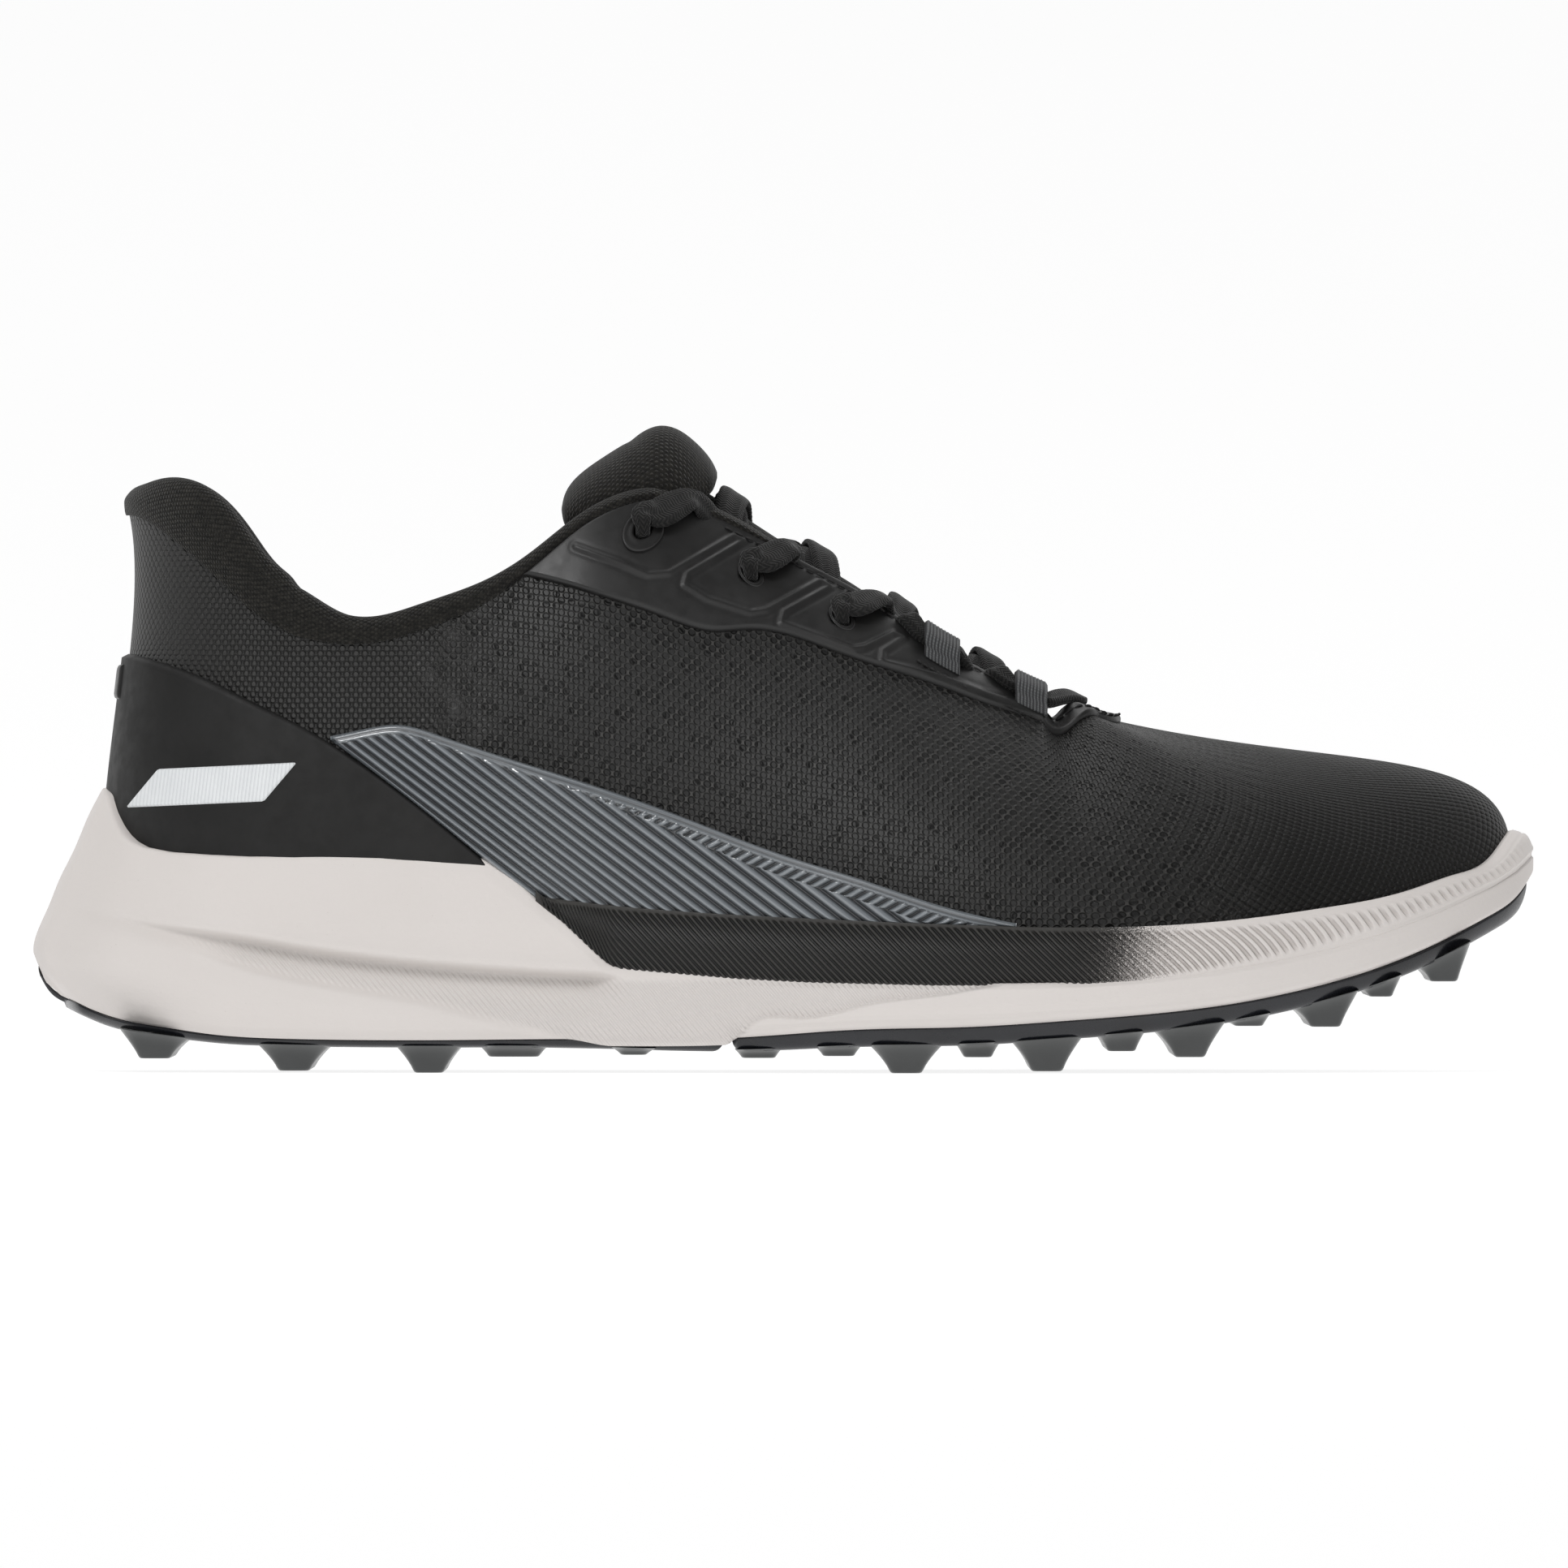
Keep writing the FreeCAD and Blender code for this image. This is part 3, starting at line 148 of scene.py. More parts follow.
HANDLES = [
    (0.0, 2.5, 0.30, -4.9, 0.73), (0.5, 2.8, 0.31, -1.5, 0.73), (1.0, 3.2, 0.33, 0.8, 0.74),
    (station(-60), 4.2, 0.30, 4.4, 0.74), (station(-40), 5.0, 0.28, 11.5, 0.78),
    (station(-15), 5.2, 0.26, 16.0, 0.83), (station(5), 5.2, 0.27, 17.5, 0.83),
    (station(30), 5.4, 0.29, 21.0, 0.86), (2.0, 5.6, 0.31, 24.5, 0.87),
    (2.33, 5.4, 0.31, 28.0, 0.85), (2.53, 5.0, 0.34, 34.0, 0.82), (2.66, 4.8, 0.40, 40.0, 0.77),
    (2.77, 4.6, 0.50, 46.0, 0.71), (2.865, 4.5, 0.66, 50.0, 0.65), (3.0, 4.5, 0.90, 53.0, 0.59),
]
SIDE_OUTER, SIDE_INNER = column(OUTLINE, 1), column(OUTLINE, 2)
BASE_OUTER = Spline([(r[0], r[1]) for r in BASE] + [(u, TOE_OUTER(u) - TOE_INSET(u)) for u in BASE_TOE])
BASE_INNER = Spline([(r[0], r[2]) for r in BASE] + [(u, TOE_INNER(u) - TOE_INSET(u)) for u in BASE_TOE])
EDGE_R, EDGE_Z = column(EDGE, 1), column(EDGE, 2)
OUT_1, UP_1, OUT_2, UP_2 = (column(HANDLES, k) for k in (1, 2, 3, 4))


def sided(side, outer, inner, t):
    return np.where(side < 0, outer(t), inner(t))


def side_station(w):
    """Which side w is on (-1 outer, 1 inner) and the rib's station there."""
    w = np.mod(w, 6.0)
    return np.where(w <= 3, -1.0, 1.0), np.where(w <= 3, w, 6 - w)


def on_side(side, u):
    """The w of station u on one side."""
    return u if side < 0 else 6 - u


def rib_plane(w):
    side, u = side_station(w)
    square = side * math.pi / 2
    angle = np.where(u <= 1, math.pi - square * u, square)
    angle = np.where(u >= 2, square + (u - 2) * (TOE_TURN - square), angle)
    axis = np.clip(HEEL_X + (u - 1) * (TOE_X - HEEL_X), HEEL_X, TOE_X)
    return axis, np.cos(angle), np.sin(angle)


def in_plane(w, r, z):
    axis, cx, cy = rib_plane(w)
    return np.stack(np.broadcast_arrays(axis + cx * r, cy * r, z), -1)


def rib_rz(w, v):
    side, u = side_station(w)
    rb, zb, re, ze = sided(side, BASE_OUTER, BASE_INNER, u), BASE_Z(u), EDGE_R(u), EDGE_Z(u)
    height = ze - zb
    wide = (rb - re) / np.maximum(BASE_OUTER(u) - re, 1.0)
    r = (rb, rb + OUT_1(u), re + OUT_2(u) * wide, re)
    z = (zb, zb + UP_1(u) * height, zb + UP_2(u) * height, ze)
    k = ((1 - v) ** 3, 3 * v * (1 - v) ** 2, 3 * v * v * (1 - v), v**3)
    return sum(a * b for a, b in zip(k, r)), sum(a * b for a, b in zip(k, z))


def last(w, v, out=0.0):
    """Points of the lasted surface, moved outwards in the rib's plane."""
    w, v, out = np.broadcast_arrays(np.asarray(w, float), np.asarray(v, float), out)
    r, z = rib_rz(w, v)
    r0, z0 = rib_rz(w, np.maximum(v - 0.01, 0))
    r1, z1 = rib_rz(w, np.minimum(v + 0.01, 1))
    size = np.hypot(r1 - r0, z1 - z0)
    return in_plane(w, r + out * (z1 - z0) / size, z - out * (r1 - r0) / size)


def normal(w, v):
    return unit(last(w, v, 1.0) - last(w, v))


def unit(a):
    return a / np.linalg.norm(a, axis=-1, keepdims=True)


def v_where(w, line):
    """v at which ribs cross a side-view line, height as a function of x."""
    low, high = np.zeros_like(np.asarray(w, float)), np.ones_like(np.asarray(w, float))
    for _ in range(26):
        v = (low + high) / 2
        p = last(w, v)
        under = p[..., 2] < line(p[..., 0])
        low, high = np.where(under, v, low), np.where(under, high, v)
    return (low + high) / 2


def locate(side, x, z):
    """(w, v) of the points seen at x and z from one side, from the heel to the toe's start."""
    low, high = np.full_like(x, 0.02), np.full_like(x, 2.0)
    for _ in range(24):
        u = (low + high) / 2
        w = on_side(side, u)
        v = v_where(w, lambda _x: z)
        behind = last(w, v)[..., 0] < x
        low, high = np.where(behind, u, low), np.where(behind, high, u)
    return w, v


def lengths(p, axis):
    """Distance walked along an axis of a grid of points."""
    step = np.linalg.norm(np.diff(p, axis=axis), axis=-1)
    start = np.zeros_like(np.take(step, [0], axis=axis))
    return np.cumsum(np.concatenate([start, step], axis=axis), axis=axis)


def walk(w0, w1, step, v=0.35):
    """w values from w0 to w1 a step apart on the surface."""
    w = np.linspace(w0, w1, 3000)
    s = lengths(last(w, v), 0)
    return np.interp(np.linspace(0, s[-1], int(s[-1] / step) + 2), s, w)


def smooth(a, b, x):
    t = np.clip((x - a) / (b - a), 0, 1)
    return t * t * (3 - 2 * t)


def rounded(distance, radius):
    """0 at an edge, 1 beyond the radius, on a quarter circle."""
    t = 1 - np.clip(distance / radius, 0, 1)
    return np.sqrt(np.clip(1 - t * t, 0, 1))


# ---- meshes -----------------------------------------------------------------------------------
def make(name, points, material, body="shoe", uv=None, mask=None, ring_i=False, ring_j=False,
         caps=False, flat=False):
    """A mesh from a grid of points in mm. uv is in mm; mask is a second map for the materials."""
    ni, nj = points.shape[:2]
    index = np.arange(ni * nj).reshape(ni, nj)
    rows = np.concatenate([index, index[:1]]) if ring_i else index
    rows = np.concatenate([rows, rows[:, :1]], 1) if ring_j else rows
    quads = np.stack([rows[:-1, :-1], rows[1:, :-1], rows[1:, 1:], rows[:-1, 1:]], -1).reshape(-1, 4)
    faces = quads.tolist()
    if caps:
        faces += [index[0].tolist()[::-1], index[-1].tolist()]
    mesh = bpy.data.meshes.new(name)
    mesh.from_pydata((points.reshape(-1, 3) * MM).tolist(), [], faces)
    loops = np.zeros(len(mesh.loops), np.int64)
    mesh.loops.foreach_get("vertex_index", loops)
    for label, grid in (("UVMap", uv), ("mask", mask)):
        if grid is None:
            continue
        layer = mesh.uv_layers.new(name=label)
        values = np.asarray(grid, float).reshape(-1, 2)[loops]
        layer.data.foreach_set("uv", values.ravel())
    mesh.validate()
    mesh.shade_smooth() if not flat else mesh.shade_flat()
    mesh.update()
    piece = bpy.data.objects.new(name, mesh)
    bpy.context.collection.objects.link(piece)
    mesh.materials.append(material)
    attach(piece, body)
    return piece


def outward(piece):
    """Turns the faces so that a closed piece's volume is positive."""
    mesh = piece.data
    mesh.calc_loop_triangles()
    co = np.array([v.co for v in mesh.vertices])
    tri = np.array([t.vertices for t in mesh.loop_triangles])
    a, b, c = co[tri[:, 0]], co[tri[:, 1]], co[tri[:, 2]]
    if np.einsum("ij,ij->i", a, np.cross(b, c)).sum() < 0:
        mesh.flip_normals()
    return piece


def panel(name, w, low, high, step, lift, thick, material, edge=0.6, relief=None, back=-0.3,
          body="shoe", ring=False, mask=None):
    """A closed skin on the surface, from v = low to v = high, with rounded edges."""
    ribs = last(w[:, None], np.stack([low, (low + high) / 2, high], 1))
    count = int(np.max(lengths(ribs, 1)[:, -1]) / step) + 3
    v = low[:, None] + (high - low)[:, None] * np.linspace(0, 1, count)
    grid_w = np.repeat(w[:, None], count, 1)
    flat = last(grid_w, v)
    across, along = lengths(flat, 1), lengths(flat, 0)
    sides = np.minimum(across, across[:, -1:] - across)
    distance = sides if ring else np.minimum(sides, np.minimum(along, along[-1:] - along))
    height = lift + thick * rounded(distance, edge)
    if relief is not None:
        height = height + relief(flat, distance, across)
    top = last(grid_w, v, height)
    under = last(grid_w[:, [-1, 0]], v[:, [-1, 0]], back)
    points = np.concatenate([top, under], 1)
    middle = along[:, count // 2][:, None]
    uv = np.stack(np.broadcast_arrays(middle, across), -1)
    uv = np.concatenate([uv, uv[:, [-1, 0]]], 1)
    if mask is not None:
        values = np.stack(np.broadcast_arrays(*mask(flat, across)), -1)
        mask = np.concatenate([values, values[:, [-1, 0]]], 1)
    piece = make(name, points, material, body, uv, mask, ring, True, not ring)
    return outward(piece)


def closed_curve(points, count):
    """Smooth closed curves through the points of each section."""
    n = points.shape[1]
    t = np.linspace(0, n, count, endpoint=False)
    i = t.astype(int)
    f = (t - i)[None, :, None]
    a, b, c, d = (points[:, (i + k) % n] for k in (-1, 0, 1, 2))
    return 0.5 * (2 * b + (c - a) * f + (2 * a - 5 * b + 4 * c - d) * f**2 + (3 * b - a - 3 * c + d) * f**3)


def open_curve(points, per):
    """A smooth curve through points, with a number of steps to each span."""
    p = np.concatenate([2 * points[:1] - points[1:2], points, 2 * points[-1:] - points[-2:-1]])
    t = np.linspace(0, len(points) - 1, (len(points) - 1) * per + 1)
    i = np.minimum(t.astype(int), len(points) - 2)
    f = (t - i).reshape(-1, *([1] * (points.ndim - 1)))
    a, b, c, d = p[i], p[i + 1], p[i + 2], p[i + 3]
    return 0.5 * (2 * b + (c - a) * f + (2 * a - 5 * b + 4 * c - d) * f**2 + (3 * b - a - 3 * c + d) * f**3)


def loft(name, sections, material, body="shoe", count=None, ring=False):
    points = closed_curve(sections, count) if count else sections
    along = lengths(points.mean(1), 0)[:, None]
    around = lengths(np.concatenate([points, points[:, :1]], 1), 1)[:, :-1]
    uv = np.stack(np.broadcast_arrays(along, around), -1)
    return outward(make(name, points, material, body, uv, None, ring, True, not ring))


def tube(name, points, look, body, uv, mask=None):
    """A closed skin round every section of a grid, capped at both ends."""
    return outward(make(name, points, LOOKS[look], body, uv, mask, ring_j=True, caps=True))


def from_faces(name, verts, faces, look, body):
    """A closed smooth mesh from its own vertices in mm and faces."""
    mesh = bpy.data.meshes.new(name)
    mesh.from_pydata((np.array(verts) * MM).tolist(), [], faces)
    mesh.shade_smooth()
    mesh.materials.append(LOOKS[look])
    piece = bpy.data.objects.new(name, mesh)
    bpy.context.collection.objects.link(piece)
    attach(piece, body)
    outward(piece)


def stacked_rings(start, levels, count):
    """Faces of a stack of rings of vertices, closed at both ends."""
    faces = []
    for i in range(levels - 1):
        a, b = start + i * count, start + (i + 1) * count
        for j in range(count):
            k = (j + 1) % count
            faces.append((a + j, b + j, b + k, a + k))
    faces.append(tuple(start + j for j in range(count)))
    faces.append(tuple(start + (levels - 1) * count + j for j in range(count))[::-1])
    return faces


# ---- materials --------------------------------------------------------------------------------
class Look:
    """A procedural material. Its sockets are joined by small helper calls."""

    def __init__(self, name, rough=0.5, **values):
        self.mat = bpy.data.materials.new(name)
        self.mat.use_nodes = True
        self.tree = self.mat.node_tree
        self.shader = self.tree.nodes["Principled BSDF"]
        self.set("Roughness", rough)
        for key, value in values.items():
            self.set(key.replace("_", " "), value)

    def join(self, value, socket):
        if isinstance(value, bpy.types.NodeSocket):
            self.tree.links.new(value, socket)
        elif isinstance(value, tuple) and len(value) == 3 and socket.type == "RGBA":
            socket.default_value = (*value, 1)
        else:
            socket.default_value = value

    def set(self, key, value):
        self.join(value, self.shader.inputs[key])

    def node(self, kind, out=0, attrs=(), **inputs):
        made = self.tree.nodes.new("ShaderNode" + kind)
        for key, value in attrs:
            setattr(made, key, value)
        for key, value in inputs.items():
            socket = made.inputs[int(key[1:])] if key[0] == "i" and key[1:].isdigit() else made.inputs[key]
            self.join(value, socket)
        return made.outputs[out]

    def math(self, kind, a, b=0.0, c=0.0):
        return self.node("Math", attrs=[("operation", kind)], i0=a, i1=b, i2=c)

    def times(self, a, b):
        return self.math("MULTIPLY", a, b)

    def plus(self, a, b):
        return self.math("ADD", a, b)

    def minus(self, a, b):
        return self.math("SUBTRACT", a, b)

    def vec(self, kind, a, b=(0, 0, 0), out=0):
        return self.node("VectorMath", out, [("operation", kind)], i0=a, i1=b)

    def uv(self, label="UVMap"):
        return self.node("UVMap", attrs=[("uv_map", label)])

    def place(self):
        """Coordinates in metres in the piece's own frame, which is the row's frame at rest."""
        return self.tree.nodes.new("ShaderNodeTexCoord").outputs["Object"]

    def split(self, vector, axis):
        return self.node("SeparateXYZ", axis, Vector=vector)

    def fit(self, value, a, b, low=0.0, high=1.0):
        return self.node("MapRange", attrs=[("interpolation_type", "SMOOTHSTEP")], Value=value, i1=a,
                         i2=b, i3=low, i4=high)

    def noise(self, vector, scale, detail=3.0, rough=0.55):
        return self.node("TexNoise", Vector=vector, Scale=scale, Detail=detail, Roughness=rough)

    def mix(self, share, a, b):
        made = self.tree.nodes.new("ShaderNodeMix")
        made.data_type = "RGBA"
        self.join(share, made.inputs[0])
        self.join(a, made.inputs[6])
        self.join(b, made.inputs[7])
        return made.outputs[2]

    def bump(self, height, distance, strength=1.0):
        """distance in metres that a height of 1 stands for. Later calls add to earlier ones."""
        made = self.tree.nodes.new("ShaderNodeBump")
        self.join(height, made.inputs["Height"])
        made.inputs["Distance"].default_value = distance
        made.inputs["Strength"].default_value = strength
        if self.shader.inputs["Normal"].links:
            self.tree.links.new(self.shader.inputs["Normal"].links[0].from_socket, made.inputs["Normal"])
        self.tree.links.new(made.outputs["Normal"], self.shader.inputs["Normal"])

    def cells(self, uv, across, along):
        """Distance, in mm, from the nearest point of a staggered lattice."""
        size = (across, along, 1.0)
        found = []
        for shift in (0.0, 0.5):
            p = self.vec("ADD", self.vec("DIVIDE", uv, size), (shift, shift, 0))
            p = self.vec("SUBTRACT", self.vec("FRACTION", p), (0.5, 0.5, 0))
            p = self.vec("MULTIPLY", p, (across, along, 0.0))
            found.append(self.vec("LENGTH", p, out=1))
        return self.math("MINIMUM", *found)


def grain_look(name, dark, light, rough, grain=9000.0, depth=4e-5, **values):
    """Plain moulded or woven stock: two near tones, fine grain and uneven gloss."""
    look = Look(name, rough, **values)
    place = look.place()
    tone = look.fit(look.noise(place, 60.0), 0.35, 0.65)
    look.set("Base Color", look.mix(tone, dark, light))
    look.set("Roughness", look.fit(look.noise(place, 300.0), 0.3, 0.7, rough - 0.05, rough + 0.06))
    look.bump(look.noise(place, grain), depth, 0.6)
    return look


def engineered_mesh():
    """Upper fabric: fine dimples behind, honeycomb with open cells amidships, small bumps at the toe.
    Painted shade in the hollows and open cells, painted highlights on the open cells' rims.
    """
    look = Look("engineered_mesh", 0.48, Specular_IOR_Level=0.45)
    uv, place = look.uv(), look.place()
    wobble = look.vec("SCALE", look.vec("SUBTRACT", look.noise(place, 90.0), (0.5, 0.5, 0.5)))
    wobble.node.inputs["Scale"].default_value = 0.7
    uv = look.vec("ADD", uv, wobble)
    x = look.split(place, 0)
    back = look.fit(x, -0.052, -0.080)
    toe = look.fit(x, 0.070, 0.105)
    comb = look.fit(look.cells(uv, 2.15, 2.5), 0.5, 0.86)
    fine = look.fit(look.cells(uv, 1.8, 2.1), 0.82, 0.35)
    tip = look.fit(look.cells(uv, 1.7, 1.9), 0.78, 0.3)
    height = look.plus(look.times(comb, look.minus(1.0, back)),
                       look.times(fine, back))
    height = look.plus(look.times(height, look.minus(1.0, toe)),
                       look.times(tip, toe))
    u, v = look.split(uv, 0), look.split(uv, 1)
    slant = look.plus(look.times(u, 0.62), look.times(v, 0.95))
    wave = look.math("SINE", look.times(slant, 0.92))
    wave = look.plus(wave, look.math("SINE", look.times(look.minus(u, v), 0.71)))
    bands = look.fit(look.plus(wave, look.times(look.noise(place, 260.0), 4.2)), 2.35, 3.1)
    middle = look.times(look.minus(1.0, back), look.minus(1.0, toe))
    opened = look.times(look.times(bands, middle), look.minus(1.0, comb))
    tone = look.mix(look.noise(place, 500.0), (0.014, 0.0136, 0.013), (0.03, 0.029, 0.0275))
    dark = look.mix(look.noise(place, 500.0), (0.0045, 0.0042, 0.0038), (0.010, 0.0093, 0.0083))
    tone = look.mix(toe, tone, dark)
    # painted shade: the low parts of the relief are darkened in the colour
    hollow = look.times(look.minus(1.0, height), 0.75)
    tone = look.mix(hollow, tone, (0.004, 0.004, 0.004))
    # painted highlight: the raised rims round the open cells are lightened in the colour
    rim_highlight = look.times(look.times(bands, middle), comb)
    tone = look.mix(look.times(rim_highlight, 0.7), tone, (0.042, 0.0405, 0.0385))
    # open cells painted near black: the dark lining behind them, and painted shade in the holes
    look.set("Base Color", look.mix(opened, tone, (0.0022, 0.0021, 0.002)))
    look.set("Specular IOR Level", look.fit(x, 0.02, 0.10, 0.45, 0.2))
    look.bump(look.minus(height, look.times(opened, 1.1)), 4.2e-4)
    look.bump(look.noise(place, 6000.0), 4e-5, 0.5)
    return look


def knit(name, dark, light, across=1.5, along=0.9, depth=1.8e-4):
    """A close knit: staggered stitches, heathered yarn and a soft sheen."""
    look = Look(name, 0.85, Sheen_Weight=0.12, Sheen_Roughness=0.5, Specular_IOR_Level=0.2)
    uv, place = look.uv(), look.place()
    stitch = look.fit(look.cells(uv, across, along), 0.42, 0.16)
    yarn = look.noise(look.vec("MULTIPLY", place, (1, 1, 2.2)), 900.0, 4.0)
    tone = look.mix(look.fit(yarn, 0.35, 0.68), dark, light)
    look.set("Base Color", look.mix(look.times(look.minus(1.0, stitch), 0.55), tone,
                                    tuple(c * 0.3 for c in dark)))
    look.bump(stitch, depth)
    look.bump(look.noise(place, 5000.0), 5e-5, 0.6)
    return look


def braid(name, dark, light):
    """Flat woven lace: slanting yarns that meet along the middle."""
    look = Look(name, 0.8, Sheen_Weight=0.15, Sheen_Roughness=0.45, Specular_IOR_Level=0.2)
    uv, place = look.uv(), look.place()
    u, v = look.split(uv, 0), look.split(uv, 1)
    fold = look.math("PINGPONG", v, 0.75)
    phase = look.times(look.plus(u, fold), 9.5)
    rib = look.fit(look.math("SINE", phase), -0.8, 0.8)
    yarn = look.noise(place, 1500.0, 3.0)
    look.set("Base Color", look.mix(look.times(rib, look.fit(yarn, 0.3, 0.7)), dark, light))
    look.bump(rib, 0.9e-4)
    look.bump(look.noise(place, 5000.0), 5e-5, 0.6)
    return look


def foam_look():
    """Moulded midsole foam: warm off-white with a leather-like grain, a hatched field and painted shade
    under the crease.
    """
    look = Look("midsole_foam", 0.58, Specular_IOR_Level=0.35)
    place, mask = look.place(), look.uv("mask")
    tone = look.mix(look.noise(place, 25.0), (0.66, 0.62, 0.595), (0.715, 0.675, 0.65))
    speck = look.fit(look.noise(place, 2200.0, 2.0), 0.72, 0.8)
    tone = look.mix(look.times(speck, 0.35), tone, (0.34, 0.30, 0.28))
    # painted shade: the mask's second channel darkens the band under the crease
    tone = look.mix(look.times(look.split(mask, 1), 0.45), tone, (0.43, 0.395, 0.37))
    look.set("Base Color", tone)
    pebble = look.node("TexVoronoi", Vector=place, Scale=1000.0)
    look.bump(pebble, 6e-5, 0.5)
    look.bump(look.noise(place, 2600.0), 6e-5, 0.5)
    slant = look.plus(look.split(place, 0), look.times(look.split(place, 2), 0.85))
    lines = look.math("SINE", look.times(slant, 2 * math.pi / 0.00125))
    look.bump(look.times(lines, look.split(mask, 0)), 1.1e-4)
    return look


def rail_look():
    """Ribbed rail: black towards the waist, sprayed off-white towards the toe in a speckled fade, with
    painted shade in the grooves.
    """
    look = Look("rail_rubber", 0.5, Specular_IOR_Level=0.4)
    place, mask = look.place(), look.uv("mask")
    speckle = look.noise(place, 5200.0, 2.0, 0.6)
    across = look.plus(look.split(place, 0), look.times(look.split(place, 2), -0.25))
    fade = look.plus(look.fit(across, 0.040, 0.090, -0.42, 0.42), speckle)
    white = look.fit(fade, 0.36, 0.64)
    tone = look.mix(look.noise(place, 40.0), (0.66, 0.62, 0.595), (0.71, 0.67, 0.645))
    black = look.mix(look.noise(place, 300.0), (0.022, 0.021, 0.019), (0.04, 0.038, 0.035))
    room = look.split(mask, 0)
    groove = look.math("SINE", look.times(look.split(mask, 1), 2 * math.pi))
    groove = look.times(look.fit(groove, -0.35, 0.7), room)
    # painted shade: the grooves are darkened in the colour, less on the off-white part
    dark = look.mix(white, (0.0035, 0.0035, 0.0035), (0.42, 0.38, 0.355))
    share = look.times(groove, look.minus(0.85, look.times(white, 0.35)))
    look.set("Base Color", look.mix(share, look.mix(white, black, tone), dark))
    look.bump(look.minus(1.0, groove), 3.0e-4)
    look.bump(look.noise(place, 3000.0), 5e-5, 0.6)
    return look


def wing_look():
    """Glossy translucent plastic, with painted shade and milder gloss in the grooves."""
    look = Look("wing_plastic", 0.2, Specular_IOR_Level=0.9, Coat_Weight=1.0, Coat_Roughness=0.08)
    place, mask = look.place(), look.uv("mask")
    tone = look.mix(look.noise(place, 35.0), (0.125, 0.14, 0.155), (0.215, 0.235, 0.252))
    # painted shade: the grooves and the line along the border take a near-black colour
    look.set("Base Color", look.mix(look.split(mask, 0), (0.0095, 0.011, 0.0135), tone))
    look.set("Roughness", look.fit(look.split(mask, 0), 0.0, 1.0, 0.38, 0.2))
    look.bump(look.noise(place, 900.0), 5e-5, 0.5)
    return look


def patch_look():
    """White foil patch with fine slanting lines pressed into it."""
    look = Look("patch_foil", 0.42, Specular_IOR_Level=0.5)
    uv, place = look.uv(), look.place()
    slant = look.plus(look.split(uv, 0), look.times(look.split(uv, 1), 0.7))
    line = look.fit(look.math("SINE", look.times(slant, 9.0)), 0.1, 0.9)
    tone = look.mix(look.noise(place, 300.0), (0.70, 0.72, 0.735), (0.82, 0.84, 0.85))
    look.set("Base Color", look.mix(look.times(line, 0.22), tone, (0.42, 0.44, 0.46)))
    look.bump(line, 5e-5)
    return look


def webbing_look():
    """Grey tape woven in lengthwise cords."""
    look = Look("webbing", 0.7, Sheen_Weight=0.1, Specular_IOR_Level=0.25)
    uv, place = look.uv(), look.place()
    cord = look.fit(look.math("SINE", look.times(look.split(uv, 0), 9.5)), -0.8, 0.6)
    pick = look.fit(look.math("SINE", look.times(look.split(uv, 1), 14.0)), -0.6, 0.8)
    weave = look.times(cord, look.plus(look.times(pick, 0.4), 0.6))
    tone = look.mix(look.noise(place, 1800.0), (0.085, 0.088, 0.09), (0.16, 0.165, 0.168))
    look.set("Base Color", look.mix(weave, (0.03, 0.03, 0.032), tone))
    look.bump(weave, 1.5e-4)
    return look


def lug_look():
    """Smoky rubber lugs: solid grey, with a painted sheen that lightens the colour at glancing angles."""
    look = Look("smoky_rubber", 0.28, Specular_IOR_Level=0.6, Coat_Weight=0.25, Coat_Roughness=0.2)
    place = look.place()
    tone = look.mix(look.noise(place, 120.0), (0.014, 0.016, 0.0165), (0.042, 0.045, 0.045))
    # painted sheen: the colour itself is lightened at glancing angles
    rim = look.node("LayerWeight", 1, Blend=0.35)
    look.set("Base Color", look.mix(look.times(rim, 0.5), tone, (0.085, 0.09, 0.088)))
    look.bump(look.noise(place, 1500.0), 5e-5, 0.5)
    return look


LOOKS = {
    "mesh": engineered_mesh(),
    "knit": knit("collar_knit", (0.0062, 0.0057, 0.0047), (0.027, 0.025, 0.0208)),
    "pad": knit("tongue_knit", (0.0058, 0.0052, 0.0042), (0.025, 0.0228, 0.0185), 2.0, 1.15, 2.4e-4),
    "lace": braid("lace_braid", (0.004, 0.004, 0.004), (0.02, 0.019, 0.018)),
    "foam": foam_look(),
    "rail": rail_look(),
    "wing": wing_look(),
    "patch": patch_look(),
    "webbing": webbing_look(),
    "lug": lug_look(),
    "overlay": grain_look("overlay_plastic", (0.006, 0.0058, 0.0056), (0.0095, 0.0092, 0.009), 0.6,
                          Specular_IOR_Level=0.35),
    "film": grain_look("eyestay_film", (0.0065, 0.0063, 0.0062), (0.012, 0.0117, 0.0115), 0.4),
    "plate": grain_look("plate_rubber", (0.0035, 0.004, 0.0065), (0.008, 0.009, 0.013), 0.25,
                        Coat_Weight=0.2),
    "thread": grain_look("thread", (0.006, 0.006, 0.006), (0.018, 0.017, 0.017), 0.8),
    "lining": knit("lining_cloth", (0.01, 0.01, 0.01), (0.03, 0.029, 0.028), 1.2, 0.7, 1e-4),
    "sock": knit("sock_cloth", (0.018, 0.018, 0.019), (0.05, 0.05, 0.052), 1.4, 0.9, 1e-4),
    "board": grain_look("board_fibre", (0.45, 0.42, 0.36), (0.6, 0.57, 0.5), 0.85),
    "stiffener": grain_look("stiffener_resin", (0.05, 0.05, 0.05), (0.09, 0.09, 0.09), 0.7),
}
LOOKS = {key: look.mat for key, look in LOOKS.items()}

# ---- the upper --------------------------------------------------------------------------------
LACE_HOLES = {-28.2: 107.8, -6.6: 99.3, 11.7: 90.3}
LOOP_ROWS = (31.8, 50.0)
SIDES = ((-1, "lateral"), (1, "medial"))


def hole_place(side, row):
    w = np.array(on_side(side, station(row)))
    return w, v_where(w, lambda x: LACE_HOLES[row])


